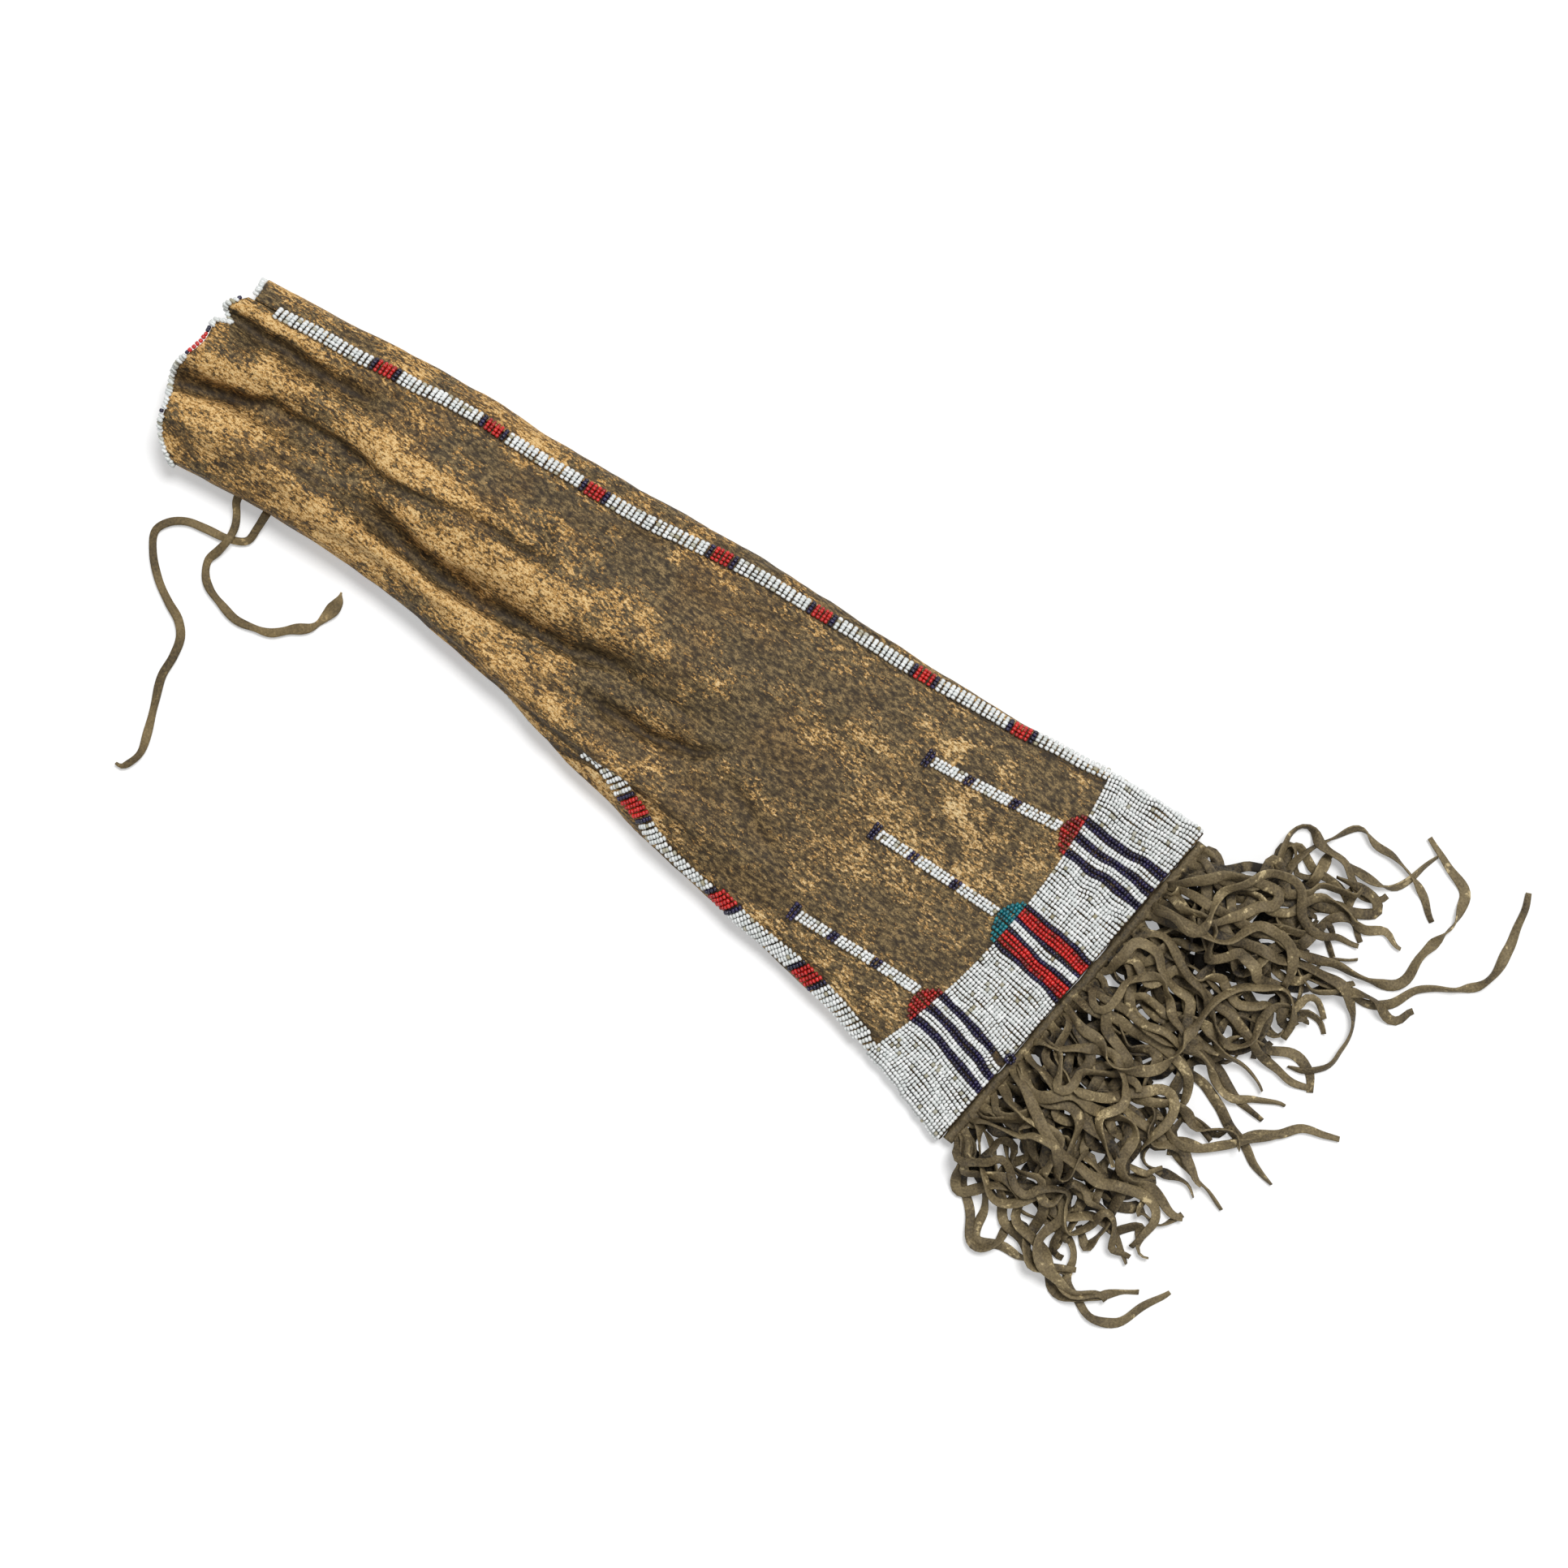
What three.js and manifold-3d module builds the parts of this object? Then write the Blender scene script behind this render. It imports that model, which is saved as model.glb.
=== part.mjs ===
// Beaded tobacco bag, lying flat: two hide panels sewn along their sides, bead strips over the seams,
// a lane-stitched bead band, three bead lines, a cut hide fringe and two tie thongs.
// Millimetres. +X runs from the mouth to the fringe, +Y across the bag, +Z up, the floor is z = 0.
import * as THREE from "three";
import Module from "manifold-3d";

const wasm = await Module();
wasm.setup();

// Driving dimensions of the hide body
const BODY_LENGTH = 500;
const MOUTH_WIDTH = 96;
const NECK_WIDTH = 102;
const WAIST_WIDTH = 114;
const SHOULDER_WIDTH = 135;
const BAND_TOP_WIDTH = 164;
const BOTTOM_WIDTH = 190;
const MOUTH_HEIGHT = 29;
const NECK_HEIGHT = 33;
const SHOULDER_HEIGHT = 30;
const BAND_TOP_HEIGHT = 15;
const UPPER_EDGE_HEIGHT = 11;
const LOWER_EDGE_HEIGHT = 16;
const LOWER_MOUTH_HEIGHT = 14;
const LOWER_EDGE_TUCK = 1;
const SEAM_SLACK = 1.5;
const SEAM_GAP = 0.7;
const UPPER_SEAM_INSET = 12;
const LOWER_SEAM_ROLL = 13;
const HIDE_THICKNESS = 1.8;
const BOTTOM_SKEW = 0.058;
const SKEW_FROM = 0.6;
const SKEW_TO = 0.9;
const CLEARANCE = 0.35;

// How far the middle of the body lies to the side of the X axis
const MOUTH_MIDDLE = -14.5;
const NECK_MIDDLE = 1.25;
const WAIST_MIDDLE = 5.5;
const SHOULDER_MIDDLE = 4.2;
const BOTTOM_MIDDLE = 0.3;

// Wavy rims of the mouth: how far they stand out and fall back towards the sides
const FRONT_LIP = 9.5;
const UPPER_LIP_FALL = 15;
const LOWER_LIP_FALL = 32;
const BACK_SETBACK = 6;
const BACK_LEAN = 9;
const RIM_WAVE = 2;
const FRONT_WAVES = 9;
const BACK_WAVES = 7;
const MOUTH_ZONE = 0.1;

// Folds of the hide: their depth or rise, and their reach to each side
const DEEP_FOLD = 9;
const FOLD = 5;
const LOW_FOLD = 4;
const NARROW_FOLD_REACH = 8;
const FOLD_REACH = 10;
const WIDE_FOLD_REACH = 13;
const FOLD_END = 30;
const FOLD_FADE_FROM = 0.62;
const FOLD_FADE_TO = 0.9;

// Driving dimensions of the beadwork
const BEAD_HEIGHT = 2.1;
const LANE_COUNT = 5;
const LANE_DIP = 0.5;
const BAND_LENGTH = 41;
const BAND_EDGE_SWEEP = 11;
const BAND_HALF_SHARE = 0.985;
const BAND_MARGIN = 0.6;
const CAP_HEIGHT = 8;
const CAP_END_HEIGHT = 1.8;
const LIFT_LENGTH = 20;
const LIFT_MARGIN = 4;
const STRIP_WIDTH = 9;
const STRIP_CLEARANCE = 0.9;
const LINE_WIDTH = 5.4;
const LINE_LENGTH = 66;
const LINE_HEAD_LENGTH = 4;
const LINE_HEAD_WIDTH = 9;
const EDGING_SIZE = 2.2;
const EDGING_INSET = 0.25;
const EDGING_CLEARANCE = 0.6;

// Driving dimensions of the fringe and the ties
const FRINGE_BAND_THICKNESS = 2.2;
const FRINGE_BAND_DEPTH = 8;
const WELT_LENGTH = 5;
const WELT_HEIGHT = 6;
const THONG_WIDTH = 5.2;
const THONG_THICKNESS = 1.3;
const THONG_COUNT = 17;
const THONG_LENGTH = 128;
const THONG_TIP_SHARE = 0.6;
const SWING_LENGTH = 88;
const CURL_LENGTH = 44;
const FREE_LENGTH = 20;
const PILE_HEIGHT = 24;
const PILE_RIM = 4;
const PILE_FALL_FROM = 0.4;
const PILE_SIDE_DROP = 0.6;
const PILE_SIDE_FROM = 0.7;
const PILE_SIDE_TO = 1.2;
const ROOT_RISE_SHARE = 0.22;
const TWIST = 0.8;
const TWIST_FROM = 0.5;
const TWIST_TO = 0.8;
const RANK_STRIDE = 11;
const TAB_SHARE = 0.8;
const WELT_SHARE = 0.96;
const ROOT_SHARE = 0.93;
const FRINGE_SEED = 7;
const TIE_DIAMETER = 3.4;

// Mesh fineness
const STATIONS = 28;
const FRONT_COLUMNS = 17;
const BACK_COLUMNS = 9;
const THONG_STEPS = 7;
const PLAN_SUBSTEPS = 6;
const ROUTE_STEPS = 7;
const EDGE_FIELD_COLUMNS = 4;
const STRINGS_PER_COLUMN = 5;
const CAP_COLUMNS = 5;
const LINE_ROWS = 8;
const TIE_SIDES = 8;
const TIE_STEP_DIAMETERS = 3;
const SOLVER_PASSES = 6;
const UPPER_STRIP_START = 1;
const LOWER_STRIP_START = 6;
const STRIP_TURN = 0.12;

// Colours read from the bag
const COLOURS = {
  hide: { color: 0x6e5734, roughness: 0.85 },
  thong: { color: 0x54472f, roughness: 0.85 },
  white: { color: 0xdfe3df, roughness: 0.35 },
  navy: { color: 0x1c1840, roughness: 0.3 },
  red: { color: 0xb82222, roughness: 0.3 },
  teal: { color: 0x0f7582, roughness: 0.3 },
};

// Heights that follow from the layers at the bottom edge, where the fringe is sewn between the panels
const FLOOR_LIFT = BEAD_HEIGHT + CLEARANCE;
const LAYER_SLACK = 0.8;
const BOTTOM_HEIGHT = FLOOR_LIFT + 2 * HIDE_THICKNESS + FRINGE_BAND_THICKNESS + 2 * CLEARANCE + LAYER_SLACK;
const BOTTOM_EDGE_HEIGHT = (BOTTOM_HEIGHT + FLOOR_LIFT) / 2;
const FRINGE_BAND_FLOOR = FLOOR_LIFT + HIDE_THICKNESS + CLEARANCE;
const THONG_ROOT_HEIGHT = FRINGE_BAND_FLOOR + FRINGE_BAND_THICKNESS / 2;

const { clamp, lerp, smoothstep } = THREE.MathUtils;

// A smooth curve through [share of the body length, value] rows
function profile(rows) {
  const slope = (i) => {
    const before = rows[Math.max(i - 1, 0)];
    const after = rows[Math.min(i + 1, rows.length - 1)];
    return (after[1] - before[1]) / (after[0] - before[0]);
  };
  return (share) => {
    const s = clamp(share, 0, 1);
    let i = 0;
    while (i < rows.length - 2 && s > rows[i + 1][0]) {
      i += 1;
    }
    const [s0, v0] = rows[i];
    const [s1, v1] = rows[i + 1];
    const span = s1 - s0;
    const t = (s - s0) / span;
    const t2 = t * t;
    const t3 = t2 * t;
    const ends = v0 * (2 * t3 - 3 * t2 + 1) + v1 * (3 * t2 - 2 * t3);
    return ends + span * (slope(i) * (t3 - 2 * t2 + t) + slope(i + 1) * (t3 - t2));
  };
}

const widthAt = profile([
  [0, MOUTH_WIDTH], [0.25, NECK_WIDTH], [0.4, WAIST_WIDTH], [0.55, SHOULDER_WIDTH],
  [0.85, BAND_TOP_WIDTH], [1, BOTTOM_WIDTH],
]);
const middleAt = profile([
  [0, MOUTH_MIDDLE], [0.2, NECK_MIDDLE], [0.35, WAIST_MIDDLE], [0.47, WAIST_MIDDLE],
  [0.7, SHOULDER_MIDDLE], [0.9, SHOULDER_MIDDLE], [1, BOTTOM_MIDDLE],
]);
const crestAt = profile([
  [0, MOUTH_HEIGHT], [0.2, NECK_HEIGHT], [0.55, SHOULDER_HEIGHT],
  [0.88, BAND_TOP_HEIGHT], [1, BOTTOM_HEIGHT],
]);
const upperEdgeAt = profile([
  [0, UPPER_EDGE_HEIGHT], [0.5, UPPER_EDGE_HEIGHT],
  [0.85, BOTTOM_EDGE_HEIGHT + SEAM_SLACK], [1, BOTTOM_EDGE_HEIGHT],
]);
const lowerEdgeAt = profile([
  [0, LOWER_MOUTH_HEIGHT], [0.2, LOWER_EDGE_HEIGHT], [0.44, LOWER_EDGE_HEIGHT],
  [0.6, BOTTOM_EDGE_HEIGHT + 2 * SEAM_SLACK], [0.85, BOTTOM_EDGE_HEIGHT + SEAM_SLACK],
  [1, BOTTOM_EDGE_HEIGHT],
]);
const domePowerAt = profile([[0, 2.4], [0.6, 2.6], [0.85, 5], [1, 12]]);

// Seams, as shares of how far the upper one lies in from the edge and the lower one rolls up over its edge
const upperSeamShareAt = profile([
  [0, 0.92], [0.14, 1], [0.25, 0.9], [0.365, 0.98], [0.5, 0.675], [0.6, 0.55], [0.71, 0.375], [0.86, 0.25],
  [1, 0.13],
]);
const lowerSeamShareAt = profile([
  [0, -0.31], [0.12, -0.62], [0.4, -0.69], [0.47, -0.23], [0.525, 0.85], [0.575, 1], [0.605, 0.62],
  [0.65, 0.485], [0.8, 0.46], [0.9, 0.385], [1, 0.23],
]);

const shareAt = (x) => x / BODY_LENGTH + 0.5;
const halfWidthAt = (x) => widthAt(shareAt(x)) / 2;
const bandTopX = BODY_LENGTH / 2 - BAND_LENGTH;

// The back panel is lifted where the bead band under it lies on the floor
function floorLiftAt(x) {
  const liftEnd = bandTopX - BAND_EDGE_SWEEP - LIFT_MARGIN;
  return FLOOR_LIFT * smoothstep(x, liftEnd - LIFT_LENGTH, liftEnd);
}

// Folds in the front panel: a line of [share along, share across] points, the rise in the middle of the
// fold and its reach to each side
const FOLDS = [
  {
    rise: -DEEP_FOLD,
    reach: FOLD_REACH,
    line: [[-0.024, -0.37], [0.074, -0.13], [0.144, -0.08], [0.232, -0.18]],
  },
  { rise: FOLD, reach: FOLD_REACH, line: [[-0.024, 0.07], [0.106, 0.14], [0.214, 0.01], [0.368, 0.13]] },
  {
    rise: -DEEP_FOLD,
    reach: NARROW_FOLD_REACH,
    line: [[0.202, -0.49], [0.282, -0.55], [0.408, -0.48], [0.474, -0.28], [0.532, -0.22]],
  },
  {
    rise: -FOLD,
    reach: NARROW_FOLD_REACH,
    line: [[0.47, -0.5], [0.53, -0.5], [0.584, -0.38], [0.612, -0.24]],
  },
  {
    rise: -FOLD,
    reach: NARROW_FOLD_REACH,
    line: [[-0.024, 0.48], [0.05, 0.42], [0.12, 0.38], [0.22, 0.4]],
  },
  { rise: LOW_FOLD, reach: FOLD_REACH, line: [[-0.024, -0.67], [0.1, -0.58], [0.2, -0.77], [0.3, -0.79]] },
  {
    rise: LOW_FOLD,
    reach: WIDE_FOLD_REACH,
    line: [[0.28, -0.23], [0.38, -0.16], [0.5, 0.04], [0.6, 0.13]],
  },
];
const FOLD_LINES = FOLDS.map(({ line }) => line.map(([along, across]) => new THREE.Vector2(
  (along - 0.5) * BODY_LENGTH, middleAt(along) + (across * widthAt(along)) / 2)));

// Distance from a plan point to a line of points
function distanceToLine(point, line) {
  let best = Infinity;
  for (let i = 0; i + 1 < line.length; i += 1) {
    const step = line[i + 1].clone().sub(line[i]);
    const t = clamp(point.clone().sub(line[i]).dot(step) / step.lengthSq(), 0, 1);
    best = Math.min(best, point.distanceTo(line[i].clone().addScaledVector(step, t)));
  }
  return best;
}

// Sum of the folds at a plan point, each fading towards the ends of its line
function foldRise(x, y) {
  const point = new THREE.Vector2(x, y);
  let rise = 0;
  FOLDS.forEach((fold, k) => {
    const line = FOLD_LINES[k];
    const startX = line[0].x;
    const endX = line[line.length - 1].x;
    const fadeIn = smoothstep(x, startX - FOLD_END, startX + FOLD_END);
    const fadeOut = 1 - smoothstep(x, endX - FOLD_END, endX);
    const reached = distanceToLine(point, line) / fold.reach;
    rise += fold.rise * fadeIn * fadeOut * Math.exp(-(reached ** 2));
  });
  return rise;
}

// Outer skin of the hide tube. The angle goes round the section: 0 at the upper edge, half a turn at
// the lower edge, over the top first and back along the floor.
function skin(x, angle) {
  const share = shareAt(x);
  const half = halfWidthAt(x);
  const across = Math.cos(angle);
  const y = middleAt(share) + half * across;
  const turn = THREE.MathUtils.euclideanModulo(angle, 2 * Math.PI);
  const edge = lerp(lowerEdgeAt(share), upperEdgeAt(share), (across + 1) / 2);
  if (turn <= Math.PI) {
    const dome = Math.sqrt(Math.max(1 - Math.abs(across) ** domePowerAt(share), 0));
    const z = edge + (crestAt(share) - edge) * dome;
    const foldMask = 1 - smoothstep(Math.abs(across), FOLD_FADE_FROM, FOLD_FADE_TO);
    return new THREE.Vector3(x, y, z + foldMask * foldRise(x, y));
  }
  const lift = floorLiftAt(x);
  const roundness = across > 0 ? upperEdgeAt(share) : lowerEdgeAt(share) - LOWER_EDGE_TUCK;
  const reach = Math.max(1 - (half * (1 - Math.abs(across))) / roundness, 0);
  const round = 1 - Math.sqrt(Math.max(1 - reach * reach, 0));
  return new THREE.Vector3(x, y, lift + (edge - lift) * round);
}

const PROBE = 1e-3;
const PROBE_X = 0.5;

function skinNormal(x, angle) {
  const along = skin(x + PROBE_X, angle).sub(skin(x - PROBE_X, angle));
  const around = skin(x, angle + PROBE).sub(skin(x, angle - PROBE));
  return around.cross(along).normalize();
}

// Moves round the section from an angle by an arc length
function walk(x, angle, distance) {
  let at = angle;
  for (let pass = 0; pass < SOLVER_PASSES; pass += 1) {
    const speed = skin(x, at + PROBE).distanceTo(skin(x, at - PROBE)) / (2 * PROBE);
    at += distance / SOLVER_PASSES / speed;
  }
  return at;
}

function upperSeamAngle(x) {
  return Math.acos(1 - (UPPER_SEAM_INSET * upperSeamShareAt(shareAt(x))) / halfWidthAt(x));
}

function lowerSeamAngle(x) {
  return walk(x, Math.PI, -LOWER_SEAM_ROLL * lowerSeamShareAt(shareAt(x)));
}

// How far a point is moved along the bag by the wavy mouth and by the skewed bottom edge
const mouthShift = {
  front: (across) => {
    const fall = across < 0 ? LOWER_LIP_FALL * across ** 4 : UPPER_LIP_FALL * across ** 5;
    return fall - FRONT_LIP + RIM_WAVE * Math.sin(FRONT_WAVES * across);
  },
  back: (across) => BACK_SETBACK - BACK_LEAN * across + RIM_WAVE * Math.cos(BACK_WAVES * across),
};

function stationX(along, angle, side) {
  const across = Math.cos(angle);
  const mouth = mouthShift[side](across) * (1 - smoothstep(along, 0, MOUTH_ZONE));
  const skew = BOTTOM_SKEW * across * (BOTTOM_WIDTH / 2) * smoothstep(along, SKEW_FROM, SKEW_TO);
  return (along - 0.5) * BODY_LENGTH + mouth + skew;
}

// The share along the bag that a point on a panel has, the reverse of stationX
function alongOf(x, angle, side) {
  let along = shareAt(x);
  for (let pass = 0; pass < SOLVER_PASSES; pass += 1) {
    along -= (stationX(along, angle, side) - x) / BODY_LENGTH;
  }
  return along;
}

// Angles of a panel's two edges, each half a seam gap away from the seam
function panelAngles(x, side) {
  const upper = upperSeamAngle(x);
  const lower = lowerSeamAngle(x);
  const half = SEAM_GAP / 2;
  return side === "front"
    ? [walk(x, upper, half), walk(x, lower, -half)]
    : [walk(x, lower, half), walk(x, upper, -half) + 2 * Math.PI];
}

// Outer vertices and normals of a panel on its grid of stations and columns
function panelGrid(side, columns) {
  const rows = [];
  for (let i = 0; i <= STATIONS; i += 1) {
    const along = i / STATIONS;
    const row = [];
    for (let j = 0; j <= columns; j += 1) {
      let x = (along - 0.5) * BODY_LENGTH;
      let angle = 0;
      for (let pass = 0; pass < SOLVER_PASSES; pass += 1) {
        const [from, to] = panelAngles(x, side);
        angle = lerp(from, to, j / columns);
        x = stationX(along, angle, side);
      }
      row.push({ point: skin(x, angle), normal: skinNormal(x, angle) });
    }
    rows.push(row);
  }
  return { side, columns, rows };
}

const frontGrid = panelGrid("front", FRONT_COLUMNS);
const backGrid = panelGrid("back", BACK_COLUMNS);

// The point on a panel's facets at a place on the bag, with a blended normal
function onPanel(grid, x, angle) {
  const [from, to] = panelAngles(x, grid.side);
  const i = clamp(alongOf(x, angle, grid.side) * STATIONS, 0, STATIONS);
  const j = clamp(((angle - from) / (to - from)) * grid.columns, 0, grid.columns);
  const i0 = Math.min(Math.floor(i), STATIONS - 1);
  const j0 = Math.min(Math.floor(j), grid.columns - 1);
  const fi = i - i0;
  const fj = j - j0;
  const corner = (di, dj) => grid.rows[i0 + di][j0 + dj];
  const blend = (key) => {
    const result = corner(0, 0)[key].clone();
    const middle = fi >= fj ? corner(1, 0)[key] : corner(0, 1)[key];
    const [first, second] = fi >= fj ? [fi, fj] : [fj, fi];
    result.addScaledVector(middle.clone().sub(corner(0, 0)[key]), first);
    return result.addScaledVector(corner(1, 1)[key].clone().sub(middle), second);
  };
  return { point: blend("point"), normal: blend("normal").normalize() };
}

// Either panel, picked by where the angle lies between the seams
function onHide(x, angle) {
  const isFront = angle >= upperSeamAngle(x) && angle <= lowerSeamAngle(x);
  if (isFront) {
    return onPanel(frontGrid, x, angle);
  }
  return onPanel(backGrid, x, angle < Math.PI / 2 ? angle + 2 * Math.PI : angle);
}

// Triangles of a closed slab between two grids of points
function slabGeometry(top, bottom) {
  const rows = top.length;
  const columns = top[0].length;
  const positions = [...top.flat(), ...bottom.flat()].flatMap((p) => [p.x, p.y, p.z]);
  const upper = (i, j) => i * columns + j;
  const lower = (i, j) => rows * columns + i * columns + j;
  const index = [];
  const wall = (a, b, c, d) => index.push(a, b, c, a, c, d);
  for (let i = 0; i + 1 < rows; i += 1) {
    for (let j = 0; j + 1 < columns; j += 1) {
      index.push(upper(i, j), upper(i + 1, j), upper(i + 1, j + 1));
      index.push(upper(i, j), upper(i + 1, j + 1), upper(i, j + 1));
      index.push(lower(i, j), lower(i + 1, j + 1), lower(i + 1, j));
      index.push(lower(i, j), lower(i, j + 1), lower(i + 1, j + 1));
    }
    wall(upper(i, 0), lower(i, 0), lower(i + 1, 0), upper(i + 1, 0));
    const edge = columns - 1;
    wall(upper(i + 1, edge), lower(i + 1, edge), lower(i, edge), upper(i, edge));
  }
  for (let j = 0; j + 1 < columns; j += 1) {
    wall(upper(0, j + 1), lower(0, j + 1), lower(0, j), upper(0, j));
    const edge = rows - 1;
    wall(upper(edge, j), lower(edge, j), lower(edge, j + 1), upper(edge, j + 1));
  }
  return facingOut(positions, index);
}

// A geometry whose faces point out, whichever way round its triangles were listed
function facingOut(positions, index) {
  const corner = (k) => new THREE.Vector3().fromArray(positions, 3 * index[k]);
  let volume = 0;
  for (let k = 0; k < index.length; k += 3) {
    volume += corner(k).dot(corner(k + 1).cross(corner(k + 2)));
  }
  if (volume < 0) {
    for (let k = 0; k < index.length; k += 3) {
      [index[k + 1], index[k + 2]] = [index[k + 2], index[k + 1]];
    }
  }
  const geometry = new THREE.BufferGeometry();
  geometry.setAttribute("position", new THREE.Float32BufferAttribute(positions, 3));
  geometry.setIndex(index);
  geometry.computeVertexNormals();
  return geometry;
}

const bag = new THREE.Group();

function addPiece(name, colour, geometry) {
  const material = new THREE.MeshStandardMaterial({ ...COLOURS[colour], metalness: 0 });
  const mesh = new THREE.Mesh(geometry, material);
  mesh.name = name;
  bag.add(mesh);
}

// A skin of beads on the hide: place(u, w) gives a point and its normal, height(u) the bead height
function addBeads(name, colour, place, stepsAlong, stepsAcross, height, clearance = CLEARANCE) {
  const top = [];
  const bottom = [];
  for (let i = 0; i <= stepsAlong; i += 1) {
    const topRow = [];
    const bottomRow = [];
    for (let j = 0; j <= stepsAcross; j += 1) {
      const { point, normal } = place(i / stepsAlong, j / stepsAcross);
      bottomRow.push(point.clone().addScaledVector(normal, clearance));
      topRow.push(point.clone().addScaledVector(normal, clearance + height(i / stepsAlong)));
    }
    top.push(topRow);
    bottom.push(bottomRow);
  }
  addPiece(name, colour, slabGeometry(top, bottom));
}

// Hide panels
function addPanel(name, grid) {
  const top = grid.rows.map((row) => row.map(({ point }) => point));
  const bottom = grid.rows.map((row) =>
    row.map(({ point, normal }) => point.clone().addScaledVector(normal, -HIDE_THICKNESS)));
  addPiece(name, "hide", slabGeometry(top, bottom));
}

addPanel("front_panel", frontGrid);
addPanel("back_panel", backGrid);

// Bead band: strings of beads run along the bag, counted from the upper end to the lower end
const STRIPES = [
  ["white", 11],
  ["navy", 2], ["white", 2], ["navy", 2], ["white", 2], ["navy", 2],
  ["white", 14],
  ["navy", 1], ["red", 3], ["navy", 1], ["white", 2], ["navy", 1], ["red", 3], ["navy", 1],
  ["white", 14],
  ["navy", 2], ["white", 2], ["navy", 2], ["white", 2], ["navy", 2],
  ["white", 14],
];
const STRIPE_GROUPS = [
  { name: "upper", first: 1, last: 5, capColour: "red", lineStart: 0.52 },
  { name: "middle", first: 7, last: 13, capColour: "teal", lineStart: -0.02 },
  { name: "lower", first: 15, last: 19, capColour: "red", lineStart: -0.7 },
];
const STRING_COUNT = STRIPES.reduce((sum, [, strings]) => sum + strings, 0);
const stringsBefore = (k) => STRIPES.slice(0, k).reduce((sum, [, strings]) => sum + strings, 0);
const acrossOfString = (k) => BAND_HALF_SHARE * (1 - (2 * k) / STRING_COUNT);
const BAND_END_SKEW = 0.07;

// Ends of a bead string, from the swept upper edge of the band to the bottom edge
function bandTop(across) {
  const skew = BAND_END_SKEW * across * (BAND_TOP_WIDTH / 2);
  return bandTopX + skew - BAND_EDGE_SWEEP * across * across;
}

function bandBottom(across) {
  return BODY_LENGTH / 2 + BOTTOM_SKEW * across * (BOTTOM_WIDTH / 2) - BAND_MARGIN;
}

const laneHeight = (u) => BEAD_HEIGHT - LANE_DIP * (0.5 + 0.5 * Math.cos(2 * Math.PI * LANE_COUNT * u));
const fullHeight = () => BEAD_HEIGHT;

// A field of bead strings between two shares across, kept clear of its neighbours
function bandField(acrossFrom, acrossTo, start, end) {
  const inset = CLEARANCE / 2 / (BAND_TOP_WIDTH / 2);
  return (u, w) => {
    const across = lerp(acrossFrom - inset, acrossTo + inset, w);
    const x = lerp(start(across) + CLEARANCE / 2, end(across) - CLEARANCE / 2, u);
    return onPanel(frontGrid, x, Math.acos(across));
  };
}

STRIPES.forEach(([colour, strings], k) => {
  const from = acrossOfString(stringsBefore(k));
  const to = acrossOfString(stringsBefore(k) + strings);
  const atEnd = k === 0 || k === STRIPES.length - 1;
  const columns = atEnd ? EDGE_FIELD_COLUMNS : Math.ceil(strings / STRINGS_PER_COLUMN);
  const name = `${colour}_stripe_${String(k + 1).padStart(2, "0")}`;
  addBeads(name, colour, bandField(from, to, bandTop, bandBottom), 2 * LANE_COUNT, columns, laneHeight);
});

// Lens-shaped caps above the stripe groups
for (const group of STRIPE_GROUPS) {
  const from = acrossOfString(stringsBefore(group.first));
  const to = acrossOfString(stringsBefore(group.last + 1));
  const capTop = (across) => {
    const t = (2 * (across - from)) / (to - from) - 1;
    return bandTop(across) - lerp(CAP_HEIGHT, CAP_END_HEIGHT, t * t);
  };
  const capField = bandField(from, to, capTop, bandTop);
  addBeads(`${group.name}_cap`, group.capColour, capField, 2, CAP_COLUMNS, fullHeight);
}

// Bead lines that run up the hide from the caps, each with a navy head
for (const group of STRIPE_GROUPS) {
  const middle = (stringsBefore(group.first) + stringsBefore(group.last + 1)) / 2;
  const lineEnd = acrossOfString(middle);
  const end = bandTop(lineEnd) - CAP_HEIGHT - CLEARANCE;
  const start = end - LINE_LENGTH;
  const lineField = (from, to, width) => (u, w) => {
    const x = lerp(from, to, u);
    const across = lerp(group.lineStart, lineEnd, (x - start) / LINE_LENGTH);
    return onPanel(frontGrid, x, Math.acos(across + ((0.5 - w) * width) / halfWidthAt(x)));
  };
  addBeads(`${group.name}_line`, "white", lineField(start, end, LINE_WIDTH), LINE_ROWS, 1, fullHeight);
  const headEnd = start - CLEARANCE;
  const headField = lineField(headEnd - LINE_HEAD_LENGTH, headEnd, LINE_HEAD_WIDTH);
  addBeads(`${group.name}_line_head`, "navy", headField, 1, 2, fullHeight);
}

// Plain bead band under the bag, on the back panel
const backField = (u, w) => {
  const column = lerp(1, BACK_COLUMNS - 1, w) / BACK_COLUMNS;
  let x = bandTopX;
  let angle = 0;
  for (let pass = 0; pass < SOLVER_PASSES; pass += 1) {
    const [from, to] = panelAngles(x, "back");
    angle = lerp(from, to, column);
    x = lerp(bandTop(Math.cos(angle)), bandBottom(Math.cos(angle)), u);
  }
  return onPanel(backGrid, x, angle);
};
addBeads("back_bead_band", "white", backField, 2 * LANE_COUNT, BACK_COLUMNS - 2, laneHeight);

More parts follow.
